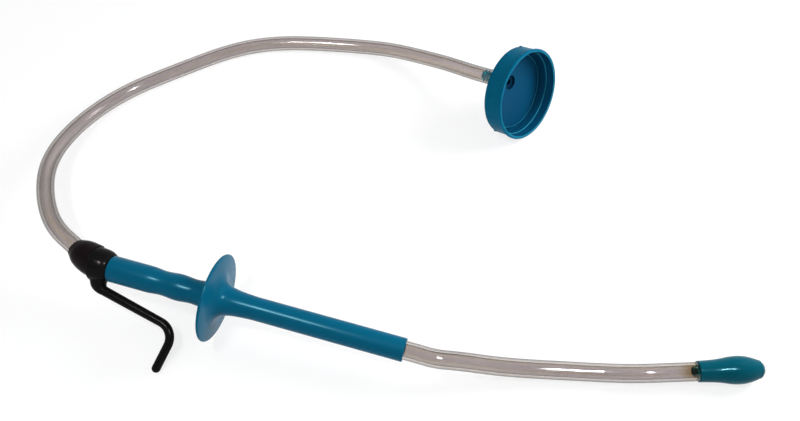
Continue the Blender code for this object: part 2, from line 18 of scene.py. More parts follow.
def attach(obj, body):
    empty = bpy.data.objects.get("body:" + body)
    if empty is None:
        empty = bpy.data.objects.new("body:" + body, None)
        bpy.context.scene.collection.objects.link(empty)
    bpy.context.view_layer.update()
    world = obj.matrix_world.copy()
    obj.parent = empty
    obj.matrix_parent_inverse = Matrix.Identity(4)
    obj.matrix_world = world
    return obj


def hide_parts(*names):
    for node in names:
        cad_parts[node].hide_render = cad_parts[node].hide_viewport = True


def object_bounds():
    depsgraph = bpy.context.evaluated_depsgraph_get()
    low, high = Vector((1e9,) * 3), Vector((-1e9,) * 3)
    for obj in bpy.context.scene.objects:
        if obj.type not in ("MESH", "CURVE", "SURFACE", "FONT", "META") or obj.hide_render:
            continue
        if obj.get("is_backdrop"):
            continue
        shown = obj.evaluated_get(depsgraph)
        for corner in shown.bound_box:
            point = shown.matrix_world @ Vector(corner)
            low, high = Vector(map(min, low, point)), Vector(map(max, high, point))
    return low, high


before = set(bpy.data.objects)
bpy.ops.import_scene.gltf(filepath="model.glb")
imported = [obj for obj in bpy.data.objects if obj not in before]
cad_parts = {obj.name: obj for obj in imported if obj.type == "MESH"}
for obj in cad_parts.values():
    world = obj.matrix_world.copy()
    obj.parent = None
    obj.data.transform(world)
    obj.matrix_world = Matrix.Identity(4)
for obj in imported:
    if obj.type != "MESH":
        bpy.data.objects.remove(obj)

bl_info = {
    "name": "Calf Feeding Tube",
    "version": (1, 0, 0),
    "blender": (4, 5, 0),
    "location": "3D View > Sidebar > Feeding Tube",
    "description": "Builds a calf feeding tube piece by piece around its packed model",
    "category": "Object",
}

MM = 0.001
CAD_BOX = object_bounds()

# Faces round the turned shapes, rings along their outlines, and steps along the held hose
STEM_SIDES, BORE_SIDES, BOOT_SIDES, EYE_SIDES, ROD_SIDES = 64, 96, 96, 128, 40
FRONT_FLARE_RINGS, REAR_FLARE_RINGS, FINGER_RINGS, GUARD_EDGE_RINGS = 44, 32, 60, 13
BOOT_EDGE_RINGS, BOOT_RINGS, BOOT_BORE_RINGS = 6, 60, 30
EYE_RINGS, ROD_TIP_RINGS, BULB_RINGS = 24, 8, 72
BEND_STEPS, HELD_STEPS = 24, 30

# Clearances
SEAM = 0.4 * MM
SLIP = 0.35 * MM

# Handle: stations run along its axis from the middle of the guard. A flare has its run, its
# height and how tightly it curves
HANDLE_DIP = math.radians(3.27)
GRIP_REAR = -98.0 * MM
SLEEVE_FRONT = 168.0 * MM
FINGER_FRONT = -20.5 * MM
FINGER_WAVES = 1.5
FRONT_FLARE = (35.0 * MM, 15.5 * MM, 3.2 * MM)
REAR_FLARE = (19.2 * MM, 12.0 * MM, 2.0 * MM)
CHANNEL_EASE = 0.3 * MM
SLEEVE_ROUNDING = 0.9 * MM
GRIP_ROUNDING = 1.1 * MM

# The hose behind the handle, and the boot round it
BEND_RADIUS = 78.0 * MM
BEND_ANGLE = math.radians(24.5)
BOOT_REAR = -136.6 * MM
BOOT_RISE = 0.9 * MM
BOOT_LIP = 0.6 * MM
BOOT_EDGE = 0.25 * MM
BOOT_LEAN = 0.12
BOOT_CROWN = ((0.0, 1.0), (0.31, 0.965), (0.56, 0.905), (0.72, 0.83), (0.86, 0.725), (1.0, 0.625))

# Hanging hook: corners are measured forward of the eye's middle and out from the eye's axis
EYE_LENGTH = 16.0 * MM
EYE_STEP = 0.25 * MM
EYE_EDGE = 0.6 * MM
EYE_CROWN = ((0.5, 0.0), (0.28, 0.6), (-0.06, 0.94), (-0.5, 1.0))
EYE_SHIFT = 0.8 * MM
EYE_SLACK = 1.6 * MM
ROD_ROOT_LENGTH = 11.0 * MM
ROD_ROOT_DROP = 3.0
ROD_TIP_TURN = math.radians(9.5)
FILLET_SMOOTHING = {"factor": 0.5, "iterations": 8}
HOOK_BENDS = (9.8 * MM, 15.0 * MM)
HOOK_STEP = 0.8 * MM
HOOK_CORNERS = (
    (-0.4 * MM, 10.4 * MM), (-1.2 * MM, 19.2 * MM),
    (78.8 * MM, 36.8 * MM), (71.4 * MM, 72.4 * MM),
)

# Screw cap: depths are measured back from the open rim
CAP_PLACE = (57.5 * MM, 154.8 * MM)
CAP_TURN = math.radians(-26.3)
CAP_LEAN = math.radians(18.2)
CAP_DEPTH = 21.8 * MM
FLOOR_DEPTH = 18.6 * MM
FLOOR_STEP = (35.6 * MM, 0.2 * MM)
RIM_BAND = 3.0 * MM
LEDGE_DEPTH = 9.1 * MM
LEDGE_RADIUS = 42.6 * MM
RIB_DEPTH = 16.4 * MM
RIB_RADIUS = 39.0 * MM
RIB_WIDTH = 1.3 * MM
BACK_EDGE = 2.0 * MM
LUG_WIDTH = 3.4 * MM
LUG_LENGTH = 6.0 * MM
LUG_FADE = 4.4 * MM
LUG_SEAT = 0.8 * MM
LUG_SLOPE = 0.15 * MM
LUG_TAPER = 0.52
LUG_ROUNDING = 0.22 * MM
LUG_START = math.radians(3.0)
CAP_HOLE_RADIUS = 7.4 * MM
CAP_HOLE_DEPTH = 2.2 * MM
SPIGOT_OFF_CENTRE = 13.0 * MM
SPIGOT_ANGLE = math.radians(196.1)

# Thin edges of the cap that get a painted highlight, a paler teal: the radius and the depth of each
HIGHLIGHT_RINGS = ((44.15 * MM, 0.15 * MM), (43.0 * MM, 9.3 * MM), (38.6 * MM, 16.5 * MM))

# Zones of painted light and shade in the cap's tint: painted shade in the cup, a painted highlight
# along the thin edges, painted shade in the hole and painted light on the spigot inside the hose.
# Each grows from nothing to full between two
# marks in millimetres: out from the cap's axis (radius) or the spigot's (seat), along them
# (station), or to a thin edge
CAP_ZONES = {
    "Inside": (("radius", 44.7, 44.2), ("station", -20.6, -20.2)),
    "Edges": (("to edge", 0.65, 0.35),),
    "Hole": (("seat", 7.45, 7.3), ("station", -18.7, -18.95)),
    "Spigot": (("seat", 6.4, 6.2), ("seat", 3.2, 3.5), ("station", -21.9, -22.1)),
}

# Barbed stems, and where the hose runs straight: marks before their shoulders, and out of the
# boot and the sleeve
BARB_ROOT = 4.0 * MM
BARB_PITCH = 4.3 * MM
SPIGOT_BORE = 2.9 * MM
SPIGOT_NOSE = 1.0 * MM
SPIGOT_ROOT = 1.6 * MM
CAP_HOSE_MARKS = (44.0 * MM, 32.0 * MM, 21.0 * MM, 10.0 * MM, SEAM)
BULB_HOSE_MARKS = (37.0 * MM, 27.5 * MM, 18.5 * MM, 9.0 * MM, SEAM)
BOOT_HOSE_MARKS = (SEAM / 2, 10.0 * MM, 20.0 * MM)
SLEEVE_HOSE_MARKS = (SEAM / 2, 12.0 * MM, 24.0 * MM)

# Bulb tip: lengths are measured from its shoulder against the hose
BULB_PLACE = (248.0 * MM, -86.6 * MM)
BULB_TURN = math.radians(17.6)
BULB_LENGTH = 55.1 * MM
BULB_OUTLET = 4.2 * MM
BULB_FUNNEL = 18.0 * MM
BULB_STEM_NOSE = 0.1 * MM
BULB_FLAT_START = 0.985
BULB_CROWN = (
    (0.0, 0.748), (0.127, 0.77), (0.254, 0.803), (0.381, 0.874),
    (0.49, 0.958), (0.61, 1.0), (0.726, 0.962), (0.826, 0.857),
    (0.907, 0.723), (0.971, 0.58), (0.989, 0.47),
)

# Hose: its route over the floor from the boot to the cap, and in front from handle to bulb
SUPPLY_ROUTE = (
    (-0.3477, -0.0970, 0.0428), (-0.3664, -0.0739, 0.0376), (-0.3820, -0.0476, 0.0312),
    (-0.3912, -0.0201, 0.0246), (-0.3943, 0.0061, 0.0186), (-0.3930, 0.0309, 0.0136),
    (-0.3877, 0.0537, 0.0102), (-0.3787, 0.0740, 0.0086), (-0.3668, 0.0922, 0.0082),
    (-0.3453, 0.1170, 0.0082), (-0.3222, 0.1412, 0.0082), (-0.2980, 0.1653, 0.0082),
    (-0.2709, 0.1862, 0.0082), (-0.2399, 0.2012, 0.0082), (-0.2063, 0.2108, 0.0082),
    (-0.1718, 0.2174, 0.0083), (-0.1367, 0.2215, 0.0095), (-0.1127, 0.2213, 0.0119),
    (-0.0883, 0.2172, 0.0158), (-0.0639, 0.2102, 0.0209), (-0.0398, 0.2012, 0.0273),
)
PROBE_ROUTE = (
    (0.0493, -0.1363, 0.0232), (0.0821, -0.1286, 0.0160), (0.1153, -0.1201, 0.0105),
    (0.1484, -0.1121, 0.0084), (0.1811, -0.1050, 0.0086),
)
HOSE_STEP = 3.0 * MM
GRAIN_ATTRIBUTE = "hose_grain"
HOSE_IOR = 1.52
HOSE_LINES = (7.0, 7.0, 6.0)
HOSE_LINE_HEIGHT = 0.012 * MM
HOSE_BANDS = (2.4, 2.4, 2.0)
HOSE_BAND_EDGES = (0.4, 0.6)
HAZE, HAZE_SCALE, HAZE_ROUGHNESS = 0.05, 60.0, 0.08
# Facing bands over which the hose wall gets painted shade, at a slant and edge on
SLANT_SHADE_BAND = (0.33, 0.45)
EDGE_SHADE_BAND = (0.47, 0.68)
STAIN_REACH = (17.0 * MM, 8.0 * MM)

# Surface detail: a grain is a noise scale and a height, and a scuff is a height
DRIFT, DRIFT_SCALE = 0.06, 28.0
SMUDGE, SMUDGE_SCALE, SMUDGE_MIDDLE = 0.08, 95.0, 0.45
SCUFF_STRETCH = (2200.0, 90.0, 2200.0)
SCUFF_TURN = (0.3, 0.5, 0.7)
SCUFF_BAND = (0.68, 0.78)
FINE_GRAIN = (900.0, 0.004 * MM)
CAP_GRAIN = (1100.0, 0.006 * MM)
HOOK_GRAIN = (700.0, 0.006 * MM)
BOOT_GRAIN = (1500.0, 0.01 * MM)
TEAL_SCUFF = 0.0006 * MM
HOOK_SCUFF = 0.002 * MM
SURFACE_OUTPUTS = {"Color": ("Colour",), "Float": ("Roughness",), "Vector": ("Normal",)}

# Stage: the backdrop fades over these heights of the looking direction
WHITE = (1.0, 1.0, 1.0, 1.0)
PAPER = (0.9, 0.9, 0.9, 1.0)
ROOM_TINT = (0.97, 0.985, 1.0, 1.0)
FLOOR_GLOW = 1.1
FLOOR_HALF = 4.0
BACKDROP_FADE = (0.3, 0.6)

# Camera, on the picture's own viewing angle
CAMERA_PLACE = Vector((0.07814, -0.39692, 0.60756))
CAMERA_AIM = Vector((-0.159318, 0.554513, -0.816782))
CAMERA_RIGHT = Vector((0.963565, 0.267398, -0.006413))
CAMERA_LENS = 33.75
SENSOR_WIDTH = 36.0

# Lamps: a place, and a size across and along
BACK_LAMP = ((0.55, 0.35, 0.45), (0.4, 0.4))
KEY_LAMP = ((-0.28, -0.36, 1.0), (0.2, 0.06))
SIDE_LAMP = ((0.45, -0.25, 1.0), (0.05, 0.13))
LAMP_AIM = Vector((0.0, 0.0, 0.02))


def length(name, description, millimetres):
    more = {"default": millimetres * MM, "unit": "LENGTH", "precision": 5}
    return FloatProperty(name=name, description=description, **more)


def share(name, description, default):
    more = {"subtype": "UNSIGNED", "min": 0.0}
    return FloatProperty(name=name, description=description, default=default, **more)


def count(name, description, default):
    more = {"subtype": "UNSIGNED", "min": 1}
    return IntProperty(name=name, description=description, default=default, **more)


def colour(name, description, *default):
    more = {"subtype": "COLOR", "min": 0.0, "max": 1.0}
    return FloatVectorProperty(name=name, description=description, default=default, **more)


class HoseSettings(PropertyGroup):
    """Sizes of the clear hose."""

    radius: length("Hose Radius", "Outside radius of the hose", 8.0)
    wall: length("Hose Wall", "Thickness of the hose's wall", 2.5)
    sides: count("Hose Sides", "Flats round the hose", 48)


class HandleSettings(PropertyGroup):
    """Sizes of the handle, its guard and the boot behind it."""

    guard_radius: length("Guard Radius", "Radius of the round mouth guard", 38.7)
    guard_thickness: length("Guard Thickness", "Thickness of the guard at its rim", 2.6)
    grip_radius: length("Grip Radius", "Radius of the grip at its rear", 11.75)
    finger_dip: length("Finger Dip", "How deep the finger hollows are", 1.0)
    finger_pitch: length("Finger Pitch", "Length of one finger hollow", 28.0)
    sleeve_wall: length("Sleeve Wall", "Thickness of the long sleeve in front", 1.8)
    seam_height: length("Mould Seam", "Height of the line where the mould halves met", 0.05)
    boot_radius: length("Boot Radius", "Radius of the boot at the hook's eye", 14.6)
    steps: count("Handle Steps", "Faces round the handle", 180)


class HookSettings(PropertyGroup):
    """Sizes of the hanging hook."""

    rod_radius: length("Rod Radius", "Radius of the hook's rod", 3.9)
    root_radius: length("Root Radius", "Radius of the rod where it grows out of the eye", 7.5)
    eye_radius: length("Eye Radius", "Radius of the eye at its rear", 15.0)
    fillet: length("Fillet", "Size of the cells that round off the moulding", 0.45)


class CapSettings(PropertyGroup):
    """Sizes of the screw cap."""

    radius: length("Skirt Radius", "Outside radius of the skirt", 45.4)
    wall: length("Skirt Wall", "Thickness of the skirt at the mouth", 1.6)
    rim_step: length("Rim Step", "How far the rim stands proud of the skirt", 1.4)
    lug_height: length("Lug Height", "How far the grip lugs stand proud", 1.0)
    lugs: count("Lugs", "Grip lugs round the skirt", 12)
    barbs: count("Barbs", "Barbs on the spigot", 7)
    barb_height: length("Barb Height", "How far the barbs stand proud", 1.52)
    steps: count("Cap Steps", "Faces round the cap", 192)


class BulbSettings(PropertyGroup):
    """Sizes of the bulb tip."""

    radius: length("Bulb Radius", "Largest radius of the bulb", 11.9)
    barbs: count("Barbs", "Barbs on the bulb's spigot", 1)
    steps: count("Bulb Steps", "Faces round the bulb", 144)


class FinishSettings(PropertyGroup):
    """Colours and finishes of the materials."""

    teal: colour("Teal", "Colour of the handle", 0.002, 0.102, 0.186)
    cap_teal: colour("Cap Teal", "Colour of the cap outside", 0.002, 0.1, 0.185)
    # Painted shade: a deeper, bluer teal inside the cup stands for the shade and the teal bounce
    # light there, not for the plastic's own colour
    cap_inside: colour("Cap Cup Shade", "Colour of the cap inside", 0.0025, 0.051, 0.113)
    # Painted highlight: a paler teal along the cap's thin edges stands for the light that they
    # catch
    cap_edges: colour("Cap Edge Highlight", "Colour of the cap's thin edges", 0.014, 0.18, 0.26)
    # Painted shade: a near-black teal in the hole of the cap's floor stands for the shade deep in
    # the recess
    cap_hole: colour("Cap Hole Shade", "Colour of the hole in the cap's floor", 0.001, 0.018, 0.045)
    # Painted light: a far paler teal on the spigot inside the hose stands for the lamp light that
    # reaches it through the clear hose
    cap_spigot: colour("Cap Spigot Light", "Colour of the cap's spigot", 0.03, 0.3, 0.4)
    black: colour("Black", "Colour of the hook", 0.008, 0.0075, 0.0078)
    rubber: colour("Rubber", "Colour of the boot", 0.0095, 0.0065, 0.0075)
    bulb_teal: colour("Bulb Teal", "Colour of the bulb tip", 0.002, 0.074, 0.108)
    hose: colour("Clear Hose", "Tint of the hose", 0.64, 0.585, 0.525)
    hose_cool: colour("Hose Bands", "Tint of the cooler bands along the hose", 0.6, 0.56, 0.585)
    # Painted shade: darker tints where the hose wall is seen at a slant and edge on, standing for
    # the darker room seen through its edges
    hose_slant_shade: colour("Hose Slant Shade", "Tint of the hose seen at a slant", 0.33, 0.29, 0.265)
    hose_edge_shade: colour("Hose Edge Shade", "Tint of the hose seen edge on", 0.012, 0.008, 0.008)
    hose_stain: colour("Hose Stain", "Tint of the hose where it grips the bulb", 0.5, 0.4, 0.27)
    teal_roughness: share("Teal Roughness", "Roughness of the handle", 0.25)
    cap_roughness: share("Cap Roughness", "Roughness of the cap", 0.3)
    bulb_roughness: share("Bulb Roughness", "Roughness of the bulb tip", 0.15)
    hook_roughness: share("Hook Roughness", "Roughness of the hook", 0.2)
    boot_roughness: share("Boot Roughness", "Roughness of the boot", 0.26)
    hose_roughness: share("Hose Roughness", "Roughness of the hose", 0.07)
    sheen: colour("Sheen", "Tint of the reflections on the mouldings", 0.35, 0.85, 1.0)
    gloss: share("Gloss", "How strongly the mouldings mirror the room", 0.08)
    cap_gloss: share("Cap Gloss", "How strongly the cap mirrors the room", 0.015)
    dark_gloss: share("Dark Gloss", "How strongly the black pieces mirror the room", 0.03)
    dark_sheen: colour("Dark Sheen", "Tint of the reflections on the black pieces", 1.0, 0.9, 0.9)


class StageSettings(PropertyGroup):
    """Light, floor and backdrop."""

    key_power: share("Key Light", "Power of the small light up on the left, in watts", 3.4)
    back_power: share("Back Light", "Power of the soft light behind on the right, in watts", 6.6)
    glint: share("Glint", "Power of the key light in reflections, in watts", 17.0)
    side_glint: share("Side Glint", "Power of the glint up on the right, in watts", 16.0)
    room_light: share("Room Light", "Strength of the room's own light", 0.45)
    ceiling: share("Ceiling", "How bright the ceiling is against the white backdrop", 0.08)
    shadow: share("Floor Shadow", "How much of the floor's look is its own shading", 0.3)


class TubeSettings(PropertyGroup):
    """All the settings of the feeding tube."""

    hose: PointerProperty(type=HoseSettings)
    handle: PointerProperty(type=HandleSettings)
    hook: PointerProperty(type=HookSettings)
    cap: PointerProperty(type=CapSettings)
    bulb: PointerProperty(type=BulbSettings)
    finish: PointerProperty(type=FinishSettings)
    stage: PointerProperty(type=StageSettings)


def settings():
    return bpy.context.scene.feeding_tube


# Places of the pieces


def axis_place(location, turn, lean):
    """The place of a piece whose own Z runs along its axis."""
    return Matrix.Translation(location) @ Euler((0.0, lean, turn)).to_matrix().to_4x4()


def handle_place():
    height = settings().handle.guard_radius * math.cos(HANDLE_DIP)
    return axis_place((-0.1604, -0.1407, height), 0.0, math.pi / 2 + HANDLE_DIP)


def eye_middle():
    return GRIP_REAR - SEAM - EYE_LENGTH / 2


def hook_place():
    """The eye's own axis, turned so that the hook's tip rests on the floor."""
    forward, out = HOOK_CORNERS[-1]
    guard_height = handle_place().translation.z
    tip_height = guard_height - (eye_middle() + forward) * math.sin(HANDLE_DIP)
    droop = math.asin((tip_height - settings().hook.rod_radius) / out)
    offset = axis_place((0.0, EYE_SHIFT, eye_middle()), droop - math.pi / 2, 0.0)
    return handle_place() @ offset


def cap_place():
    cap = settings().cap
    rest = max(
        (CAP_DEPTH - BACK_EDGE) * math.sin(CAP_LEAN)
        + (cap.radius + cap.lug_height) * math.cos(CAP_LEAN),
        (cap.radius + cap.rim_step) * math.cos(CAP_LEAN),
    )
    return axis_place((*CAP_PLACE, rest), CAP_TURN, math.pi / 2 - CAP_LEAN)


def spigot_seat():
    return Vector((math.cos(SPIGOT_ANGLE), math.sin(SPIGOT_ANGLE), 0.0)) * SPIGOT_OFF_CENTRE


def bulb_place():
    return axis_place((*BULB_PLACE, settings().bulb.radius), BULB_TURN, math.pi / 2)


def axis_of(place):
    return place.col[2].to_3d().normalized()


def channel_radius():
    return settings().hose.radius + SLIP


# Lines and outlines


def blended(stations, knots):
    """Radii at the given stations, on a smooth curve through (station, radius) knots."""
    places, sizes = np.array(sorted(knots)).T
    slopes = np.gradient(sizes, places)
    stations = np.clip(np.asarray(stations, dtype=float), places[0], places[-1])
    index = np.clip(np.searchsorted(places, stations) - 1, 0, len(places) - 2)
    span = places[index + 1] - places[index]
    t = (stations - places[index]) / span
    return (
        (2 * t**3 - 3 * t**2 + 1) * sizes[index]
        + (t**3 - 2 * t**2 + t) * span * slopes[index]
        + (3 * t**2 - 2 * t**3) * sizes[index + 1]
        + (t**3 - t**2) * span * slopes[index + 1]
    )


def smooth_route(points, step):
    """Evenly spaced points on the natural cubic spline through a route's own points."""
    route = np.array([tuple(point) for point in points])
    runs = np.linalg.norm(np.diff(route, axis=0), axis=1)
    along = np.concatenate(([0.0], np.cumsum(runs)))
    total = len(route)
    system = np.eye(total)
    bends = np.zeros_like(route)
    for i in range(1, total - 1):
        before, after = runs[i - 1], runs[i]
        system[i, i - 1 : i + 2] = before, 2 * (before + after), after
        bends[i] = 6 * ((route[i + 1] - route[i]) / after - (route[i] - route[i - 1]) / before)
    bends = np.linalg.solve(system, bends)
    marks = np.linspace(0.0, along[-1], 40 * total)
    i = np.clip(np.searchsorted(along, marks) - 1, 0, total - 2)
    run, a, b = runs[i, None], (along[i + 1] - marks)[:, None], (marks - along[i])[:, None]
    fine = (
        (bends[i] * a**3 + bends[i + 1] * b**3) / (6 * run)
        + (route[i] / run - bends[i] * run / 6) * a
        + (route[i + 1] / run - bends[i + 1] * run / 6) * b
    )
    travelled = np.concatenate(([0.0], np.cumsum(np.linalg.norm(np.diff(fine, axis=0), axis=1))))
    marks = np.linspace(0.0, travelled[-1], max(2, round(travelled[-1] / step)) + 1)
    evenly = [np.interp(marks, travelled, fine[:, k]).tolist() for k in range(3)]
    return [Vector(point) for point in zip(*evenly)]


def rounded(corners, radii, parts_for):
    """A line through corners that are rounded to the given radii, in parts by each arc's length."""
    path = [corners[0]]
    for before, here, after, radius in zip(corners, corners[1:], corners[2:], radii):
        into, out = (here - before).normalized(), (after - here).normalized()
        angle = into.angle(out)
        if not radius or angle < 0.01:
            path.append(here)
            continue
        centre = here + (out - into).normalized() * (radius / math.cos(angle / 2))
        first = here - into * radius * math.tan(angle / 2) - centre
        turn_axis = into.cross(out).normalized()
        parts = parts_for(radius * angle)
        for i in range(parts + 1):
            path.append(centre + Matrix.Rotation(angle * i / parts, 3, turn_axis) @ first)
    return [*path, corners[-1]]


def softened(corners, parts=6):
    """An outline with rounded corners, from (station, radius, rounding) corners."""
    points = [Vector((station, radius, 0.0)) for station, radius, _ in corners]
    radii = [rounding for _, _, rounding in corners[1:]]
    return [tuple(point[:2]) for point in rounded(points, radii, lambda arc: parts)]


# Meshes


def link(obj):
    bpy.context.scene.collection.objects.link(obj)
    return obj


def reshape(mesh, change):
    """Changes a mesh by a function that works on it as a bmesh."""
    shape = bmesh.new()
    shape.from_mesh(mesh)
    change(shape)
    shape.to_mesh(mesh)
    shape.free()


def new_object(name, mesh):
    return link(bpy.data.objects.new(name, mesh))


def face_alike(shape):
    bmesh.ops.recalc_face_normals(shape, faces=shape.faces)


def face_outwards(shape):
    """Turns a closed shape's faces outwards, on all its shells together."""
    if shape.calc_volume(signed=True) < 0:
        bmesh.ops.reverse_faces(shape, faces=shape.faces)


def skin(name, rings, loop=True):
    """A closed skin over rings of points. The last ring meets the first, or both are poles."""
    rings = np.asarray(rings, dtype=float)
    rows, sides = rings.shape[:2]
    index = np.arange(rows * sides).reshape(rows, sides)
    here = index if loop else index[:-1]
    following = np.roll(index, -1, axis=0) if loop else index[1:]
    faces = np.stack([here, np.roll(here, -1, 1), np.roll(following, -1, 1), following], axis=-1)
    mesh = bpy.data.meshes.new(name)
    mesh.from_pydata(rings.reshape(-1, 3).tolist(), [], faces.reshape(-1, 4).tolist())

    def close(shape):
        bmesh.ops.remove_doubles(shape, verts=shape.verts, dist=0.001 * MM)
        face_outwards(shape)

    reshape(mesh, close)
    return new_object(name, mesh)


def circle(sides):
    angles = np.linspace(0.0, 2 * math.pi, sides, endpoint=False)
    return np.cos(angles), np.sin(angles)


def lathe(name, outline, steps, loop=True, proud=0.0):
    """Turns an outline of (station, radius) points about Z. Proud adds to the radius at each
    step round, for lines that run lengthwise."""
    across, up = circle(steps)
    rings = []
    for station, radius in outline:
        size = radius + (proud if radius > 0 else 0.0)
        rings.append(np.stack([across * size, up * size, np.full(steps, station)], axis=-1))
    return skin(name, rings, loop)


def bar(name, path, radii, sides):
    """A round bar with closed ends along a line that stays in one plane."""
    across, up = circle(sides)
    headings = [(b - a).normalized() for a, b in zip(path, path[1:])]
    middle = [(a + b).normalized() for a, b in zip(headings, headings[1:])]
    flat = Vector((0.0, 1.0, 0.0))
    rings = [[path[0]] * sides]
    for point, tangent, radius in zip(path, (headings[0], *middle, headings[-1]), radii):
        side = tangent.cross(flat).normalized()
        rings.append([point + (flat * a + side * b) * radius for a, b in zip(across, up)])
    rings.append([path[-1]] * sides)
    return skin(name, [[tuple(point) for point in ring] for ring in rings], loop=False)


def plain(obj):
    """The object's evaluated shape as a plain mesh object of the same name."""
    bpy.context.view_layer.update()
    name = obj.name
    source = obj.evaluated_get(bpy.context.evaluated_depsgraph_get())
    mesh = bpy.data.meshes.new_from_object(source)
    bpy.data.objects.remove(obj, do_unlink=True)
    mesh.name = name
    return new_object(name, mesh)


def modified(obj, kind, **choices):
    """A modifier's result as a plain mesh object."""
    modifier = obj.modifiers.new(kind.lower(), kind)
    for key, value in choices.items():
        setattr(modifier, key, value)
    return plain(obj)


def combine(obj, other, operation):
    """Joins another shape onto an object or cuts it out, and takes the other shape away."""
    made = modified(obj, "BOOLEAN", operation=operation, solver="EXACT", object=other)
    bpy.data.objects.remove(other, do_unlink=True)
    return made


def settle(obj, place, look, node, body, sharp=38.0):
    """Puts a finished piece in its place, in its mesh, and says what it stands for."""
    obj.data.transform(place)
    obj.data.shade_smooth()
    obj.data.set_sharp_from_angle(angle=math.radians(sharp))
    obj.data.materials.clear()
    obj.data.materials.append(look)
    obj.name = node + "_piece"
    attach(obj, body)
    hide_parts(node)
    return obj


# Node trees


def fill(tree, sockets, values):
    """Sets sockets. A value is a plain one, a colour or another node's output."""
    for key, value in values.items():
        if isinstance(value, bpy.types.NodeSocket):
            tree.links.new(value, sockets[key])
        else:
            sockets[key].default_value = (*value, 1.0) if isinstance(value, Color) else value


def add(tree, kind, inputs=None, **choices):
    """Adds a node and gives its outputs."""
    node = tree.nodes.new(kind)
    for key, value in choices.items():
        setattr(node, key, value)
    fill(tree, node.inputs, inputs or {})
    return node.outputs


def calc(tree, operation, *values, clamp=False):
    inputs = dict(enumerate(values))
    return add(tree, "ShaderNodeMath", inputs, operation=operation, use_clamp=clamp)[0]


def vector_calc(tree, operation, first, second):
    return add(tree, "ShaderNodeVectorMath", {0: first, 1: second}, operation=operation)


def scaled(tree, colour_in, level):
    inputs = {0: colour_in, "Scale": level}
    return add(tree, "ShaderNodeVectorMath", inputs, operation="SCALE")[0]


def ramp(tree, value, low, high, **choices):
    """Goes from 0 to 1 as the value goes from low to high."""
    inputs = {"Value": value, "From Min": low, "From Max": high}
    return add(tree, "ShaderNodeMapRange", inputs, **choices)[0]


def noise(tree, place, scale, detail):
    return add(tree, "ShaderNodeTexNoise", {"Vector": place, "Scale": scale, "Detail": detail})[0]


def stretched_noise(tree, place, stretch, detail, turn=(0.0, 0.0, 0.0)):
    inputs = {"Vector": place, "Rotation": turn, "Scale": stretch}
    return noise(tree, add(tree, "ShaderNodeMapping", inputs)[0], 1.0, detail)


def mixed(tree, amount, first, second):
    """A blend of two colours, by the amount of the second one."""
    node = tree.nodes.new("ShaderNodeMix")
    node.data_type = "RGBA"
    sockets = {socket.identifier: socket for socket in (*node.inputs, *node.outputs)}
    fill(tree, sockets, {"Factor_Float": amount, "A_Color": first, "B_Color": second})
    return sockets["Result_Color"]


def new_tree(name, kind, inputs, outputs):
    """A node group with its sockets, named by kind, and its own input and output sockets."""
    tree = bpy.data.node_groups.new(name, kind)
    for direction, sockets in (("INPUT", inputs), ("OUTPUT", outputs)):
        for socket_kind, names in sockets.items():
            for socket in names:
                tree.interface.new_socket(
                    socket, in_out=direction, socket_type="NodeSocket" + socket_kind
                )
    return tree, tree.nodes.new("NodeGroupInput").outputs, tree.nodes.new("NodeGroupOutput").inputs


def tree_named(name, make):
    return bpy.data.node_groups.get(name) or make()


def with_tree(obj, tree, values):
    """Runs a geometry tree on an object, and gives the result as a plain mesh object."""
    modifier = obj.modifiers.new(tree.name, "NODES")
    modifier.node_group = tree
    for item in tree.interface.items_tree:
        if item.in_out == "INPUT" and item.name in values:
            modifier[item.identifier] = values[item.name]
    return plain(obj)


def end_shape(tree, shape, finish, result):
    """Ends a geometry tree with real copies in their material."""
    tree.is_modifier = True
    real = add(tree, "GeometryNodeRealizeInstances", {0: shape})[0]
    looks = add(tree, "GeometryNodeSetMaterial", {"Geometry": real, "Material": finish})
    tree.links.new(looks[0], result)
    return tree


def repeat_tree():
    """Copies of the incoming shape, each turned about Z and stepped along it."""
    inputs = {
        "Geometry": ("Shape",),
        "Int": ("Count",),
        "Float": ("First Turn", "Turn", "Step"),
        "Material": ("Finish",),
    }
    outputs = {"Geometry": ("Shape",)}
    tree, given, result = new_tree("Repeat on Axis", "GeometryNodeTree", inputs, outputs)
    index = add(tree, "GeometryNodeInputIndex")[0]
    rise = calc(tree, "MULTIPLY", index, given["Step"])
    turn = calc(tree, "MULTIPLY_ADD", index, given["Turn"], given["First Turn"])
    place = add(tree, "ShaderNodeCombineXYZ", {"Z": rise})[0]
    spin = add(tree, "ShaderNodeCombineXYZ", {"Z": turn})[0]
    rotation = add(tree, "FunctionNodeEulerToRotation", {0: spin})[0]
    points = add(tree, "GeometryNodePoints", {"Count": given["Count"], "Position": place})[0]
    copies = {"Points": points, "Instance": given["Shape"], "Rotation": rotation}
    copies = add(tree, "GeometryNodeInstanceOnPoints", copies)[0]
    return end_shape(tree, copies, given["Finish"], result["Shape"])


def repeated(obj, number, look, first_turn=0.0, turn=0.0, step=0.0):
    values = {"First Turn": first_turn, "Turn": turn, "Step": step, "Count": number, "Finish": look}
    return with_tree(obj, tree_named("Repeat on Axis", repeat_tree), values)


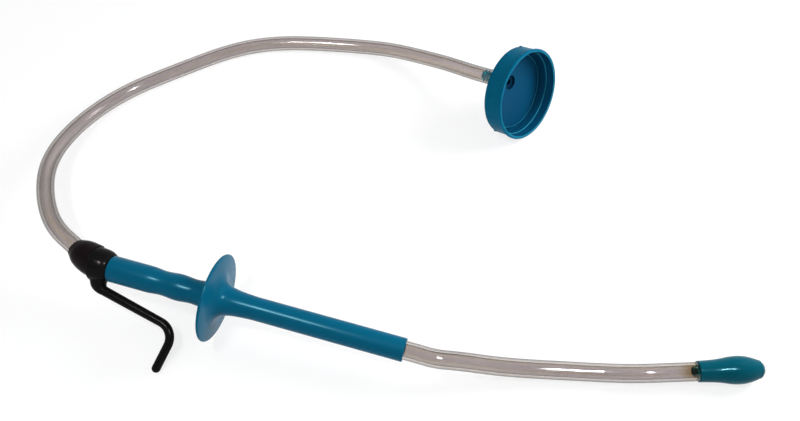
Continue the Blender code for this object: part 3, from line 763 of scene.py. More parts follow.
def hose_tree():
    """A round skin along the incoming line. It keeps the way round and along it, in turns and
    metres, as an attribute that the hose's material reads."""
    inputs = {
        "Geometry": ("Line",), "Float": ("Radius",), "Int": ("Sides",), "Material": ("Finish",)
    }
    outputs = {"Geometry": ("Skin",)}
    tree, given, result = new_tree("Hose on Line", "GeometryNodeTree", inputs, outputs)
    way = add(tree, "GeometryNodeSplineParameter")

    def keep(line, value):
        node = tree.nodes.new("GeometryNodeCaptureAttribute")
        node.capture_items.new("FLOAT", "Way")
        fill(tree, node.inputs, {0: line, 1: value})
        return node.outputs

    line = keep(given["Line"], way["Length"])
    ring = {"Resolution": given["Sides"], "Radius": given["Radius"]}
    ring = keep(add(tree, "GeometryNodeCurvePrimitiveCircle", ring)[0], way["Factor"])
    tube = add(tree, "GeometryNodeCurveToMesh", {"Curve": line[0], "Profile Curve": ring[0]})[0]
    angle = calc(tree, "MULTIPLY", ring[1], 2 * math.pi)
    grain = {"X": calc(tree, "COSINE", angle), "Y": calc(tree, "SINE", angle), "Z": line[1]}
    grain = add(tree, "ShaderNodeCombineXYZ", grain)[0]
    inputs = {"Geometry": tube, "Name": GRAIN_ATTRIBUTE, "Value": grain}
    choices = {"data_type": "FLOAT_VECTOR", "domain": "POINT"}
    stored = add(tree, "GeometryNodeStoreNamedAttribute", inputs, **choices)[0]
    return end_shape(tree, stored, given["Finish"], result["Skin"])


def end_surface(tree, result, tint, level, roughness, height, distance):
    """Ends a surface group: its tint at a level, its roughness and its bumps."""
    bump = {"Height": height, "Strength": 1.0, "Distance": distance}
    bump = add(tree, "ShaderNodeBump", bump)[0]
    outputs = {"Colour": scaled(tree, tint, level), "Roughness": roughness, "Normal": bump}
    fill(tree, result, outputs)
    return tree


def surface_group():
    """Moulded surface: a colour and roughness that drift a little, and a fine grain."""
    floats = ("Drift", "Roughness", "Smudge", "Grain Scale", "Grain Height", "Scuff")
    inputs = {"Color": ("Colour",), "Float": floats}
    tree, given, result = new_tree("Moulded Surface", "ShaderNodeTree", inputs, SURFACE_OUTPUTS)
    place = add(tree, "ShaderNodeTexCoord")["Object"]
    swing = calc(tree, "SUBTRACT", noise(tree, place, DRIFT_SCALE, 3.0), 0.5)
    level = calc(tree, "MULTIPLY_ADD", swing, given["Drift"], 1.0)
    smear = calc(tree, "SUBTRACT", noise(tree, place, SMUDGE_SCALE, 4.0), SMUDGE_MIDDLE)
    rough = calc(tree, "MULTIPLY_ADD", smear, given["Smudge"], given["Roughness"], clamp=True)
    scuff = stretched_noise(tree, place, SCUFF_STRETCH, 1.0, turn=SCUFF_TURN)
    lines = calc(tree, "MULTIPLY", ramp(tree, scuff, *SCUFF_BAND), given["Scuff"])
    grain = noise(tree, place, given["Grain Scale"], 2.0)
    height = calc(tree, "MULTIPLY_ADD", grain, given["Grain Height"], lines)
    return end_surface(tree, result, given["Colour"], level, rough, height, 1.0)


def hose_group():
    """Drawn hose wall: faint lines lengthwise, as they come off the die, cooler bands, a faint
    haze, and a stain by the bulb."""
    inputs = {
        "Color": ("Colour", "Bands", "Stain"),
        "Float": ("Drift", "Roughness", "Line Height"),
    }
    tree, given, result = new_tree("Drawn Hose Wall", "ShaderNodeTree", inputs, SURFACE_OUTPUTS)
    way = add(tree, "ShaderNodeAttribute", attribute_name=GRAIN_ATTRIBUTE)["Vector"]
    place = add(tree, "ShaderNodeTexCoord")["Object"]
    lines = stretched_noise(tree, way, HOSE_LINES, 2.0)
    swing = calc(tree, "SUBTRACT", noise(tree, place, HAZE_SCALE, 3.0), 0.5)
    level = calc(tree, "MULTIPLY_ADD", swing, given["Drift"], 1.0)
    bands = ramp(tree, stretched_noise(tree, way, HOSE_BANDS, 1.0), *HOSE_BAND_EDGES)
    tint = mixed(tree, bands, given["Colour"], given["Bands"])
    apart = vector_calc(tree, "DISTANCE", place, bulb_place().translation)["Value"]
    tint = mixed(tree, ramp(tree, apart, *STAIN_REACH), tint, given["Stain"])
    rough = calc(tree, "MULTIPLY_ADD", swing, HAZE_ROUGHNESS, given["Roughness"], clamp=True)
    return end_surface(tree, result, tint, level, rough, lines, given["Line Height"])


def cap_group():
    """The cap's tint by place, with painted light and shade over its own teal: a painted highlight
    along its thin edges, painted light on the spigot inside the hose, painted shade in the cup and
    darker painted shade in the hole."""
    zones = {"Color": ("Outside", *CAP_ZONES)}
    tree, given, result = new_tree("Cap Tint and Painted Light", "ShaderNodeTree", zones, {"Color": ("Colour",)})
    place = cap_place()
    where = {
        "Vector": add(tree, "ShaderNodeTexCoord")["Object"],
        "Location": place.translation,
        "Rotation": place.to_euler(),
    }
    where = add(tree, "ShaderNodeMapping", where, vector_type="TEXTURE")[0]
    flat = vector_calc(tree, "MULTIPLY", where, (1.0, 1.0, 0.0))[0]

    def apart(first, second):
        return vector_calc(tree, "DISTANCE", first, second)["Value"]

    radius = apart(flat, (0.0, 0.0, 0.0))
    station = add(tree, "ShaderNodeSeparateXYZ", {0: where})["Z"]
    profile = add(tree, "ShaderNodeCombineXYZ", {"X": radius, "Z": station})[0]
    edges = [apart(profile, (ring_radius, 0.0, -depth)) for ring_radius, depth in HIGHLIGHT_RINGS]
    near = calc(tree, "MINIMUM", calc(tree, "MINIMUM", edges[0], edges[1]), edges[2])
    seat = apart(flat, spigot_seat())
    measures = {"radius": radius, "station": station, "seat": seat, "to edge": near}
    tint = given["Outside"]
    for zone, limits in CAP_ZONES.items():
        amount = 1.0
        for measure, low, high in limits:
            part = ramp(tree, measures[measure], low * MM, high * MM)
            amount = calc(tree, "MULTIPLY", amount, part)
        tint = mixed(tree, amount, tint, given[zone])
    tree.links.new(tint, result["Colour"])
    return tree


def material(name, group, values, shader_values):
    """A material whose shader takes its colour, roughness and normal from a surface group."""
    made = bpy.data.materials.new(name)
    made.use_nodes = True
    tree = made.node_tree
    surface = add(tree, "ShaderNodeGroup", values, node_tree=group)
    links = {"Base Color": surface["Colour"], "Roughness": surface["Roughness"]}
    links["Normal"] = surface["Normal"]
    fill(tree, tree.nodes["Principled BSDF"].inputs, {**links, **shader_values})
    made.diffuse_color = (*values["Colour"], 1.0)
    return made


def moulded(name, tint, roughness, gloss, sheen, grain=FINE_GRAIN, scuff=0.0):
    values = {
        "Colour": tint,
        "Drift": DRIFT,
        "Roughness": roughness,
        "Smudge": SMUDGE,
        "Grain Scale": grain[0],
        "Grain Height": grain[1],
        "Scuff": scuff,
    }
    shader = {"Specular IOR Level": gloss, "Specular Tint": sheen}
    return material(name, tree_named("Moulded Surface", surface_group), values, shader)


def teal_plastic(name, tint, roughness):
    finish = settings().finish
    return moulded(name, tint, roughness, finish.gloss, finish.sheen, scuff=TEAL_SCUFF)


def black_look(name, tint, roughness, grain, scuff=0.0):
    finish = settings().finish
    return moulded(name, tint, roughness, finish.dark_gloss, finish.dark_sheen, grain, scuff)


def cap_plastic():
    finish = settings().finish
    look = finish.cap_roughness, finish.cap_gloss, finish.sheen
    made = moulded("cap teal plastic", finish.cap_teal, *look, grain=CAP_GRAIN)
    # Every zone but the outside is painted light or shade laid over the cap's own teal
    tints = {zone: getattr(finish, "cap_" + zone.lower()) for zone in CAP_ZONES}
    tints["Outside"] = finish.cap_teal
    tree = made.node_tree
    zones = add(tree, "ShaderNodeGroup", tints, node_tree=cap_group())
    surface = tree.nodes["Principled BSDF"].inputs["Base Color"].links[0].from_node
    tree.links.new(zones["Colour"], surface.inputs["Colour"])
    return made


def paint_edge_shade(tree, finish):
    """Paints shade into the base colour where the wall is seen at a slant, and more so edge on.
    This is painted shade that stands for the darker room seen through the hose's edges; the longer
    way through the wall there darkens it a little too."""
    colour_in = tree.nodes["Principled BSDF"].inputs["Base Color"]
    tint = colour_in.links[0].from_socket
    facing = add(tree, "ShaderNodeLayerWeight", {"Blend": 0.5})["Facing"]
    for band, deeper in ((SLANT_SHADE_BAND, finish.hose_slant_shade), (EDGE_SHADE_BAND, finish.hose_edge_shade)):
        amount = ramp(tree, facing, *band, interpolation_type="SMOOTHSTEP")
        tint = mixed(tree, amount, tint, deeper)
    tree.links.new(tint, colour_in)


def clear_hose():
    name = "clear hose wall"
    if name in bpy.data.materials:
        return bpy.data.materials[name]
    finish = settings().finish
    values = {
        "Colour": finish.hose,
        "Bands": finish.hose_cool,
        "Stain": finish.hose_stain,
        "Drift": HAZE,
        "Roughness": finish.hose_roughness,
        "Line Height": HOSE_LINE_HEIGHT,
    }
    shader = {"Transmission Weight": 1.0, "IOR": HOSE_IOR}
    made = material(name, hose_group(), values, shader)
    paint_edge_shade(made.node_tree, finish)
    return made


# Camera, light and floor


def make_camera():
    data = bpy.data.cameras.new("camera")
    data.lens = CAMERA_LENS
    data.sensor_width = SENSOR_WIDTH
    data.sensor_fit = "HORIZONTAL"
    data.clip_start, data.clip_end = 0.01, 30.0
    camera = new_object("camera", data)
    up = CAMERA_RIGHT.cross(CAMERA_AIM)
    turn = Matrix((CAMERA_RIGHT, up, -CAMERA_AIM)).transposed().to_4x4()
    camera.matrix_world = Matrix.Translation(CAMERA_PLACE) @ turn
    bpy.context.scene.camera = camera


def lamp(name, place, size, power, mirrored=True, lighting=True):
    """A soft box aimed at the middle. It can be left out of reflections or of the lighting."""
    data = bpy.data.lights.new(name, "AREA")
    data.shape = "RECTANGLE"
    data.size, data.size_y = size
    data.energy = power
    obj = new_object(name, data)
    obj.location = place
    obj.rotation_euler = (LAMP_AIM - Vector(place)).to_track_quat("-Z", "Y").to_euler()
    obj.visible_glossy = mirrored
    obj.visible_diffuse = lighting


def cleared_tree(owner):
    owner.use_nodes = True
    owner.node_tree.nodes.clear()
    return owner.node_tree


def either(tree, amount, first, second):
    return add(tree, "ShaderNodeMixShader", {0: amount, 1: first, 2: second})[0]


def background_rays(tree):
    """1 for rays that look straight, by a mirror or through glass at the background."""
    path = add(tree, "ShaderNodeLightPath")
    seen = calc(tree, "MAXIMUM", path["Is Camera Ray"], path["Is Glossy Ray"])
    return calc(tree, "MAXIMUM", seen, path["Is Transmission Ray"])


def make_world(stage):
    """A white backdrop all round under a dim ceiling, and the room's even light."""
    world = bpy.data.worlds.new("studio")
    bpy.context.scene.world = world
    tree = cleared_tree(world)
    direction = add(tree, "ShaderNodeTexCoord")["Generated"]
    height = add(tree, "ShaderNodeSeparateXYZ", {0: direction})["Z"]
    low, high = BACKDROP_FADE
    fade = {"From Min": low, "From Max": high, "To Min": 1.0, "To Max": stage.ceiling}
    dimming = add(tree, "ShaderNodeMapRange", {"Value": height, **fade})[0]
    backdrop = add(tree, "ShaderNodeBackground", {"Color": WHITE, "Strength": dimming})[0]
    room = add(tree, "ShaderNodeBackground", {"Color": ROOM_TINT, "Strength": stage.room_light})[0]
    pick = either(tree, background_rays(tree), room, backdrop)
    add(tree, "ShaderNodeOutputWorld", {"Surface": pick})


def make_floor(stage):
    """A pale floor. Where it is looked at it is white, but for its own shading."""
    mesh = bpy.data.meshes.new("floor")
    grid = {"x_segments": 8, "y_segments": 8, "size": FLOOR_HALF}
    reshape(mesh, lambda shape: bmesh.ops.create_grid(shape, **grid))
    made = bpy.data.materials.new("white studio floor")
    tree = cleared_tree(made)
    paper = add(tree, "ShaderNodeBsdfDiffuse", {"Color": PAPER})[0]
    glow = add(tree, "ShaderNodeEmission", {"Color": WHITE, "Strength": FLOOR_GLOW})[0]
    shaded = either(tree, stage.shadow, glow, paper)
    pick = either(tree, background_rays(tree), paper, shaded)
    add(tree, "ShaderNodeOutputMaterial", {"Surface": pick})
    mesh.materials.append(made)
    floor = new_object("floor", mesh)
    floor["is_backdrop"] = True


class FEEDINGTUBE_OT_stage(Operator):
    """Sets up the camera, the studio light and the pale floor"""

    bl_idname = "feeding_tube.stage"
    bl_label = "Build Stage"

    def execute(self, context):
        stage = settings().stage
        context.scene.view_settings.view_transform = "Standard"
        make_camera()
        make_world(stage)
        make_floor(stage)
        lamp("back_light", *BACK_LAMP, stage.back_power, mirrored=False)
        lamp("key_light", *KEY_LAMP, stage.key_power, mirrored=False)
        lamp("key_glint", *KEY_LAMP, stage.glint, lighting=False)
        lamp("side_glint", *SIDE_LAMP, stage.side_glint, lighting=False)
        return {"FINISHED"}


# The hose


def hose_bend(distance):
    """Centre and heading of the hose behind the handle, in the handle's own axes, at a
    distance back from the grip. It bends on one arc, then runs straight."""
    angle = min(distance / BEND_RADIUS, BEND_ANGLE)
    heading = Vector((0.0, math.sin(angle), -math.cos(angle)))
    side = BEND_RADIUS * (1 - math.cos(angle))
    centre = Vector((0.0, side, GRIP_REAR - BEND_RADIUS * math.sin(angle)))
    return centre + heading * (distance - BEND_RADIUS * angle), heading


def mouth_distance():
    """How far back along the hose the boot's mouth is."""
    past_bend = GRIP_REAR - BOOT_REAR - BEND_RADIUS * math.sin(BEND_ANGLE)
    return BEND_RADIUS * BEND_ANGLE + past_bend / math.cos(BEND_ANGLE)


def straight_out(start, heading, lengths):
    return [start + heading * run for run in lengths]


def supply_path():
    """From the boot's mouth over the floor to the cap's spigot."""
    place = handle_place()
    mouth, heading = hose_bend(mouth_distance())
    heading = (place.to_3x3() @ heading).normalized()
    route = straight_out(place @ mouth, heading, BOOT_HOSE_MARKS)
    route += SUPPLY_ROUTE
    back = cap_place() @ (spigot_seat() - Vector((0.0, 0.0, CAP_DEPTH)))
    route += straight_out(back, axis_of(cap_place()), [-mark for mark in CAP_HOSE_MARKS])
    return smooth_route(route, HOSE_STEP)


def probe_path():
    """From the front of the handle down to the bulb's shoulder."""
    place = handle_place()
    front = place @ Vector((0.0, 0.0, SLEEVE_FRONT))
    route = straight_out(front, axis_of(place), SLEEVE_HOSE_MARKS)
    route += PROBE_ROUTE
    shoulder = bulb_place().translation
    route += straight_out(shoulder, axis_of(bulb_place()), [-mark for mark in BULB_HOSE_MARKS])
    return smooth_route(route, HOSE_STEP)


def held_path():
    """The length that the boot, the hook's eye and the handle hold."""
    place = handle_place()
    last = mouth_distance() - SEAM
    bend = [place @ hose_bend(last * i / BEND_STEPS)[0] for i in range(BEND_STEPS, -1, -1)]
    front = place @ Vector((0.0, 0.0, SLEEVE_FRONT - SEAM / 2))
    return bend + [bend[-1].lerp(front, i / HELD_STEPS) for i in range(1, HELD_STEPS + 1)]


def make_hose(node, path):
    """A length of hose: a round skin along its path, thickened inwards to its wall."""
    hose, look = settings().hose, clear_hose()
    line = bpy.data.curves.new(node, "CURVE")
    line.dimensions = "3D"
    spline = line.splines.new("POLY")
    spline.points.add(len(path) - 1)
    for slot, point in zip(spline.points, path):
        slot.co = (*point, 1.0)
    obj = new_object(node + "_piece", line)
    values = {"Radius": hose.radius, "Sides": hose.sides, "Finish": look}
    obj = with_tree(obj, tree_named("Hose on Line", hose_tree), values)
    reshape(obj.data, face_alike)
    obj = modified(obj, "SOLIDIFY", thickness=hose.wall, offset=-1.0, use_even_offset=True)
    reshape(obj.data, face_outwards)
    return settle(obj, Matrix(), look, node, "tube", sharp=50.0)


class FEEDINGTUBE_OT_hoses(Operator):
    """Builds the clear hose in its three lengths"""

    bl_idname = "feeding_tube.hoses"
    bl_label = "Build Hoses"

    def execute(self, context):
        for node, path, stiffness, end_piece in (
            ("supply_hose", supply_path(), "medium", "screw_cap_piece"),
            ("probe_tube", probe_path(), "stiff", "tip_bulb_piece"),
        ):
            make_hose(node, path)
        make_hose("handle_hose", held_path())
        return {"FINISHED"}


# Screw cap


def barb_ring(name, barb_height):
    """One saw-tooth barb, its steep face towards the shoulder."""
    crest = BARB_ROOT + barb_height
    inside = (BARB_ROOT + SPIGOT_BORE) / 2
    corners = (
        (-0.35 * MM, inside, 0.0),
        (-0.35 * MM, BARB_ROOT, 0.0),
        (-0.6 * MM, crest, 0.12 * MM),
        (-2.2 * MM, crest, 0.3 * MM),
        (-BARB_PITCH + SLIP, BARB_ROOT, 0.0),
        (-BARB_PITCH + SLIP, inside, 0.0),
    )
    return lathe(name, softened(corners, 3), STEM_SIDES)


def spigot(name, barbs, look, nose=SPIGOT_NOSE):
    """A barbed stem down from Z = 0, open at neither end: the bore is cut later."""
    last = -barbs * BARB_PITCH - nose
    corners = (
        (SPIGOT_ROOT, 0.0, 0.0),
        (SPIGOT_ROOT, BARB_ROOT, 0.0),
        (last, BARB_ROOT, 0.5 * MM),
        (last, 0.0, 0.0),
    )
    stem = lathe(name, softened(corners, 4), STEM_SIDES, loop=False)
    ring = barb_ring(name + "_barb", settings().cap.barb_height)
    return combine(stem, repeated(ring, barbs, look, step=-BARB_PITCH), "UNION")


def grip_lug(cap):
    """One grip lug, tallest at the cap's back and fading out towards the rim."""
    rear = BACK_EDGE - CAP_DEPTH
    front = rear + LUG_LENGTH
    inside, outside = cap.radius - LUG_SEAT, cap.radius + cap.lug_height
    low, high = LUG_WIDTH / 2, LUG_TAPER * LUG_WIDTH / 2
    section = (
        (inside, rear, low),
        (outside, rear, high),
        (outside - LUG_SLOPE, front - LUG_FADE, high),
        (inside, front, low),
    )

    def build(shape):
        left, right = (
            [shape.verts.new((radius, side * half, z)) for radius, z, half in section]
            for side in (-1, 1)
        )
        shape.faces.new(left)
        shape.faces.new(reversed(right))
        for i, k in ((0, 1), (1, 2), (2, 3), (3, 0)):
            shape.faces.new((left[i], right[i], right[k], left[k]))
        face_alike(shape)
        rounding = {"offset": LUG_ROUNDING, "segments": 3, "affect": "EDGES", "profile": 0.5}
        bmesh.ops.bevel(shape, geom=shape.edges[:], **rounding)

    mesh = bpy.data.meshes.new("cap_lug")
    reshape(mesh, build)
    return new_object("cap_lug", mesh)


def cap_shell(cap):
    mouth = cap.radius - cap.wall
    rim = cap.radius + cap.rim_step
    rib_inside = RIB_RADIUS - RIB_WIDTH
    middle, rise = FLOOR_STEP
    corners = (
        (-FLOOR_DEPTH, 0.0, 0.0),
        (-FLOOR_DEPTH, middle, 0.1 * MM),
        (-FLOOR_DEPTH + rise, middle + 0.1 * MM, 0.1 * MM),
        (-FLOOR_DEPTH + rise, rib_inside, 0.5 * MM),
        (-RIB_DEPTH, rib_inside, 0.64 * MM),
        (-RIB_DEPTH, RIB_RADIUS, 0.64 * MM),
        (-FLOOR_DEPTH, RIB_RADIUS, 0.4 * MM),
        (-FLOOR_DEPTH, LEDGE_RADIUS, 0.6 * MM),
        (-LEDGE_DEPTH, LEDGE_RADIUS, 0.85 * MM),
        (-LEDGE_DEPTH, mouth, 0.3 * MM),
        (0.0, mouth, 0.8 * MM),
        (0.0, rim, 1.1 * MM),
        (-RIM_BAND, rim, 0.69 * MM),
        (-RIM_BAND, cap.radius, 0.69 * MM),
        (-CAP_DEPTH, cap.radius, BACK_EDGE),
        (-CAP_DEPTH, 0.0, 0.0),
    )
    return lathe("screw_cap_shell", softened(corners, 5), cap.steps, loop=False)


def cap_bore(cap):
    """The hole in the cap's floor, and the bore on through the spigot."""
    end = -CAP_DEPTH - (cap.barbs + 1) * BARB_PITCH
    bottom = -FLOOR_DEPTH - CAP_HOLE_DEPTH
    corners = (
        (0.0, 0.0, 0.0),
        (0.0, CAP_HOLE_RADIUS + 0.6 * MM, 0.0),
        (-FLOOR_DEPTH + 0.5 * MM, CAP_HOLE_RADIUS + 0.5 * MM, 0.0),
        (-FLOOR_DEPTH - 0.2 * MM, CAP_HOLE_RADIUS, 0.3 * MM),
        (bottom, CAP_HOLE_RADIUS - 0.5 * MM, 0.5 * MM),
        (bottom, SPIGOT_BORE, 0.4 * MM),
        (end, SPIGOT_BORE, 0.0),
        (end, 0.0, 0.0),
    )
    return lathe("cap_bore", softened(corners, 4), BORE_SIDES, loop=False)


class FEEDINGTUBE_OT_screw_cap(Operator):
    """Builds the screw cap with its lugs, thread ledge, sealing rib and barbed spigot"""

    bl_idname = "feeding_tube.screw_cap"
    bl_label = "Build Screw Cap"

    def execute(self, context):
        cap = settings().cap
        look = cap_plastic()
        seat = spigot_seat()
        turn = 2 * math.pi / cap.lugs
        lugs = repeated(grip_lug(cap), cap.lugs, look, first_turn=LUG_START, turn=turn)
        shell = combine(cap_shell(cap), lugs, "UNION")
        stem = spigot("cap_spigot", cap.barbs, look)
        stem.data.transform(Matrix.Translation(seat - Vector((0.0, 0.0, CAP_DEPTH))))
        shell = combine(shell, stem, "UNION")
        bore = cap_bore(cap)
        bore.data.transform(Matrix.Translation(seat))
        shell = combine(shell, bore, "DIFFERENCE")
        settle(shell, cap_place(), look, "screw_cap", "tube")
        return {"FINISHED"}


# Handle and boot


def flare(distance, shape):
    """How far a flare stands out, at distances from the guard's face."""
    run, height, tightness = shape
    near, far = 1 / tightness, 1 / (run + tightness)
    return np.maximum(height * (1 / (distance + tightness) - far) / (near - far), 0.0)


def grip_radius(station, handle):
    """The grip narrows and swells again where fingers close round it."""
    waves = np.clip((FINGER_FRONT - station) / handle.finger_pitch, 0.0, FINGER_WAVES)
    dip = handle.finger_dip * (1 + np.cos(2 * math.pi * waves)) / 2
    return handle.grip_radius - dip


def handle_outline(handle):
    half = handle.guard_thickness / 2
    bore = channel_radius()
    sleeve = bore + handle.sleeve_wall
    front = (
        (SLEEVE_FRONT - CHANNEL_EASE, bore, 0.0),
        (SLEEVE_FRONT, bore + CHANNEL_EASE, 0.1 * MM),
        (SLEEVE_FRONT, sleeve, SLEEVE_ROUNDING),
        (0.5 * SLEEVE_FRONT, sleeve, 0.0),
    )
    outline = softened(front)
    distances = FRONT_FLARE[0] * np.linspace(1.0, 0.0, FRONT_FLARE_RINGS) ** 2.5
    outline += list(zip(half + distances, sleeve + flare(distances, FRONT_FLARE)))
    for angle in np.linspace(0.0, math.pi, GUARD_EDGE_RINGS)[1:-1]:
        rise = half * math.sin(angle)
        outline.append((half * math.cos(angle), handle.guard_radius - half + rise))
    distances = REAR_FLARE[0] * np.linspace(0.0, 1.0, REAR_FLARE_RINGS) ** 2
    stations = -half - distances
    outline += list(zip(stations, grip_radius(stations, handle) + flare(distances, REAR_FLARE)))
    waves_end = FINGER_FRONT - FINGER_WAVES * handle.finger_pitch
    stations = np.linspace(stations[-1], waves_end, FINGER_RINGS)[1:]
    outline += list(zip(stations, grip_radius(stations, handle)))
    rear = (
        (waves_end, handle.grip_radius, 0.0),
        (GRIP_REAR, handle.grip_radius, GRIP_ROUNDING),
        (GRIP_REAR, bore, 0.3 * MM),
        (GRIP_REAR + 2 * MM, bore, 0.0),
    )
    return outline + softened(rear)[1:]


class FEEDINGTUBE_OT_handle(Operator):
    """Builds the handle: a gripped rear, a round mouth guard and a long sleeve in one moulding"""

    bl_idname = "feeding_tube.handle"
    bl_label = "Build Handle"

    def execute(self, context):
        handle, finish = settings().handle, settings().finish
        seam = np.zeros(handle.steps)
        seam[[0, handle.steps // 2]] = handle.seam_height
        obj = lathe("handle_shape", handle_outline(handle), handle.steps, proud=seam)
        look = teal_plastic("handle teal plastic", finish.teal, finish.teal_roughness)
        settle(obj, handle_place(), look, "handle", "tube")
        return {"FINISHED"}


class FEEDINGTUBE_OT_boot(Operator):
    """Builds the soft boot that leans over with the hose behind the hook's eye"""

    bl_idname = "feeding_tube.boot"
    bl_label = "Build Boot"

    def execute(self, context):
        finish = settings().finish
        size, bore = settings().handle.boot_radius, channel_radius()
        across, up = circle(BOOT_SIDES)
        first, last = EYE_LENGTH + 1.2 * SEAM, mouth_distance()
        edge = BOOT_EDGE / (last - first)
        sideways = Vector((1.0, 0.0, 0.0))

        def ring(travel, radius, rise=0.0):
            centre, heading = hose_bend(first + travel * (last - first))
            turn = min(travel / BOOT_LEAN, 1.0)
            heading = (Vector((0.0, 0.0, -1.0)) * (1 - turn) + heading * turn).normalized()
            upright = heading.cross(sideways).normalized()
            centre = centre + Vector((0.0, rise, 0.0))
            spokes = [sideways * a + upright * b for a, b in zip(across, up)]
            return [tuple(centre + spoke * radius) for spoke in spokes]

        rings = []
        for angle in np.linspace(0.0, math.pi / 2, BOOT_EDGE_RINGS, endpoint=False):
            inset = BOOT_EDGE * (1 - math.sin(angle))
            rings.append(ring(edge * (1 - math.cos(angle)), size - inset, BOOT_RISE))
        for travel in np.sin(np.linspace(0.0, math.pi / 2, BOOT_RINGS)) * (1 - edge) + edge:
            radius = max(size * float(blended(travel, BOOT_CROWN)), bore + BOOT_LIP)
            rings.append(ring(travel, radius, BOOT_RISE * (1 - travel**4)))
        rings.append(ring(1.0, bore + 0.1 * MM))
        rings += [ring(travel, bore) for travel in np.linspace(1.0, 0.0, BOOT_BORE_RINGS)]
        look = finish.rubber, finish.boot_roughness, BOOT_GRAIN
        look = black_look("boot black rubber", *look)
        obj = skin("boot_shape", rings)
        settle(obj, handle_place(), look, "hose_boot", "tube")
        return {"FINISHED"}


# Hook


def hook_eye(hook):
    """The eye that stands loose round the hose, swelling towards its rear."""
    half = EYE_LENGTH / 2
    front = settings().handle.grip_radius + EYE_STEP
    step = hook.eye_radius - front
    bore = settings().hose.radius + EYE_SLACK
    knots = [(EYE_LENGTH * along, front + step * swell) for along, swell in EYE_CROWN]
    stations = np.linspace(half - EYE_EDGE, -half, EYE_RINGS)
    outline = [(half, bore), (half, front - EYE_EDGE), *zip(stations, blended(stations, knots))]
    return lathe("hook_eye", [*outline, (-half, bore)], EYE_SIDES)


def hook_rod(hook):
    """The bent rod, thick where it grows out of the eye and round at its tip."""
    corners = [Vector((out, 0.0, forward)) for forward, out in HOOK_CORNERS]
    path = rounded(corners, HOOK_BENDS, lambda arc: max(3, round(arc / HOOK_STEP)))
    travelled, radii = 0.0, []
    for before, point in zip([path[0], *path], path):
        travelled += (point - before).length
        spread = math.exp(-((travelled / ROD_ROOT_LENGTH) ** ROD_ROOT_DROP))
        radii.append(hook.rod_radius + (hook.root_radius - hook.rod_radius) * spread)
    heading = (path[-1] - path[-2]).normalized()
    tip = path[-1]
    for i in range(1, ROD_TIP_RINGS + 1):
        angle = ROD_TIP_TURN * i
        path.append(tip + heading * hook.rod_radius * math.sin(angle))
        radii.append(hook.rod_radius * math.cos(angle))
    return bar("hook_rod", path, radii, ROD_SIDES)


class FEEDINGTUBE_OT_hook(Operator):
    """Builds the hanging hook: an eye loose round the hose and a bent round rod, in one moulding"""

    bl_idname = "feeding_tube.hook"
    bl_label = "Build Hook"

    def execute(self, context):
        hook, finish = settings().hook, settings().finish
        obj = combine(hook_eye(hook), hook_rod(hook), "UNION")
        obj = modified(obj, "REMESH", mode="VOXEL", voxel_size=hook.fillet)
        obj = modified(obj, "SMOOTH", **FILLET_SMOOTHING)
        look = finish.black, finish.hook_roughness, HOOK_GRAIN, HOOK_SCUFF
        look = black_look("hook black plastic", *look)
        settle(obj, hook_place(), look, "hang_hook", "hook", sharp=180.0)
        return {"FINISHED"}


# Bulb


def bulb_outline(bulb):
    """From the outlet back over the bulb to the middle of its shoulder."""
    shares = np.sin(np.linspace(math.pi / 2, 0.0, BULB_RINGS))[1:-1]
    shares = shares[shares < BULB_FLAT_START]
    neck = bulb.radius * BULB_CROWN[0][1]
    nose = 0.0, BULB_OUTLET + 0.4 * MM, BULB_OUTLET + MM
    outline = [(BULB_LENGTH, radius) for radius in nose]
    outline += zip(BULB_LENGTH * shares, bulb.radius * blended(shares, BULB_CROWN))
    return outline + softened([(1.4 * MM, neck, 0.0), (0.0, neck, 0.7 * MM), (0.0, 0.0, 0.0)])[1:]


def bulb_bore(bulb):
    """The outlet, a funnel behind it, and the bore on through the spigot."""
    end = -(bulb.barbs + 1) * BARB_PITCH
    corners = (
        (BULB_LENGTH + MM, 0.0, 0.0),
        (BULB_LENGTH + MM, BULB_OUTLET + 1.6 * MM, 0.0),
        (BULB_LENGTH - 0.7 * MM, BULB_OUTLET, 0.8 * MM),
        (BULB_FUNNEL, BULB_OUTLET, 3.0 * MM),
        (BULB_FUNNEL / 2, SPIGOT_BORE, 3.0 * MM),
        (end, SPIGOT_BORE, 0.0),
        (end, 0.0, 0.0),
    )
    return lathe("bulb_bore", softened(corners), BORE_SIDES, loop=False)


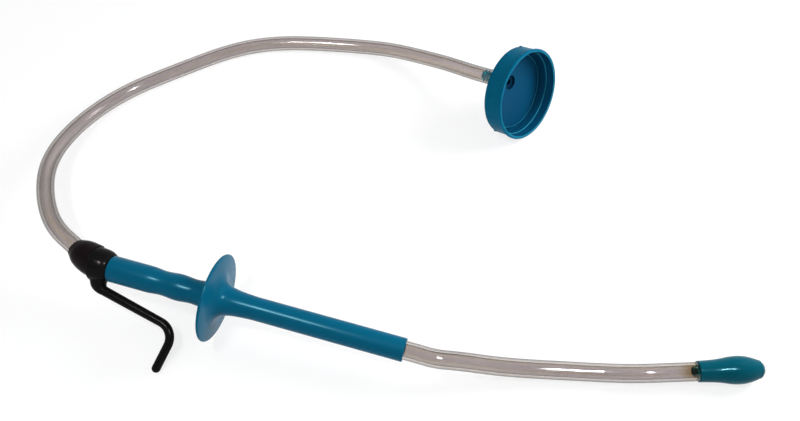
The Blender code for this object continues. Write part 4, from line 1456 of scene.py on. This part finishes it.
class FEEDINGTUBE_OT_bulb(Operator):
    """Builds the smooth blunt bulb with its bore and its barbed spigot"""

    bl_idname = "feeding_tube.bulb"
    bl_label = "Build Bulb"

    def execute(self, context):
        bulb, finish = settings().bulb, settings().finish
        look = teal_plastic("bulb teal plastic", finish.bulb_teal, finish.bulb_roughness)
        body = lathe("bulb_body", bulb_outline(bulb), bulb.steps, loop=False)
        stem = spigot("bulb_spigot", bulb.barbs, look, nose=BULB_STEM_NOSE)
        body = combine(body, stem, "UNION")
        body = combine(body, bulb_bore(bulb), "DIFFERENCE")
        settle(body, bulb_place(), look, "tip_bulb", "tube")
        return {"FINISHED"}


class FEEDINGTUBE_PT_panel(Panel):
    """Lists the pieces of the feeding tube and their settings"""

    bl_idname = "FEEDINGTUBE_PT_panel"
    bl_label = "Feeding Tube"
    bl_space_type = "VIEW_3D"
    bl_region_type = "UI"
    bl_category = "Feeding Tube"

    def draw(self, context):
        for group_name in TubeSettings.__annotations__:
            group = getattr(settings(), group_name)
            box = self.layout.box()
            box.label(text=group_name.title())
            for name in type(group).__annotations__:
                box.prop(group, name)
        for step in OPERATORS:
            self.layout.operator(step.bl_idname)


GROUPS = (
    HoseSettings,
    HandleSettings,
    HookSettings,
    CapSettings,
    BulbSettings,
    FinishSettings,
    StageSettings,
    TubeSettings,
)
OPERATORS = (
    FEEDINGTUBE_OT_stage,
    FEEDINGTUBE_OT_screw_cap,
    FEEDINGTUBE_OT_bulb,
    FEEDINGTUBE_OT_hoses,
    FEEDINGTUBE_OT_handle,
    FEEDINGTUBE_OT_boot,
    FEEDINGTUBE_OT_hook,
)


def register():
    for made in (*GROUPS, *OPERATORS, FEEDINGTUBE_PT_panel):
        bpy.utils.register_class(made)
    bpy.types.Scene.feeding_tube = PointerProperty(type=TubeSettings)


def unregister():
    del bpy.types.Scene.feeding_tube
    for made in reversed((*GROUPS, *OPERATORS, FEEDINGTUBE_PT_panel)):
        bpy.utils.unregister_class(made)


def main():
    register()
    for name in ("stage", "screw_cap", "bulb", "hoses", "handle", "boot", "hook"):
        getattr(bpy.ops.feeding_tube, name)()
    boxes = {"cad": CAD_BOX, "visual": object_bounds()}
    boxes = {key: [list(map(float, corner)) for corner in box] for key, box in boxes.items()}


if __name__ == "__main__":
    main()
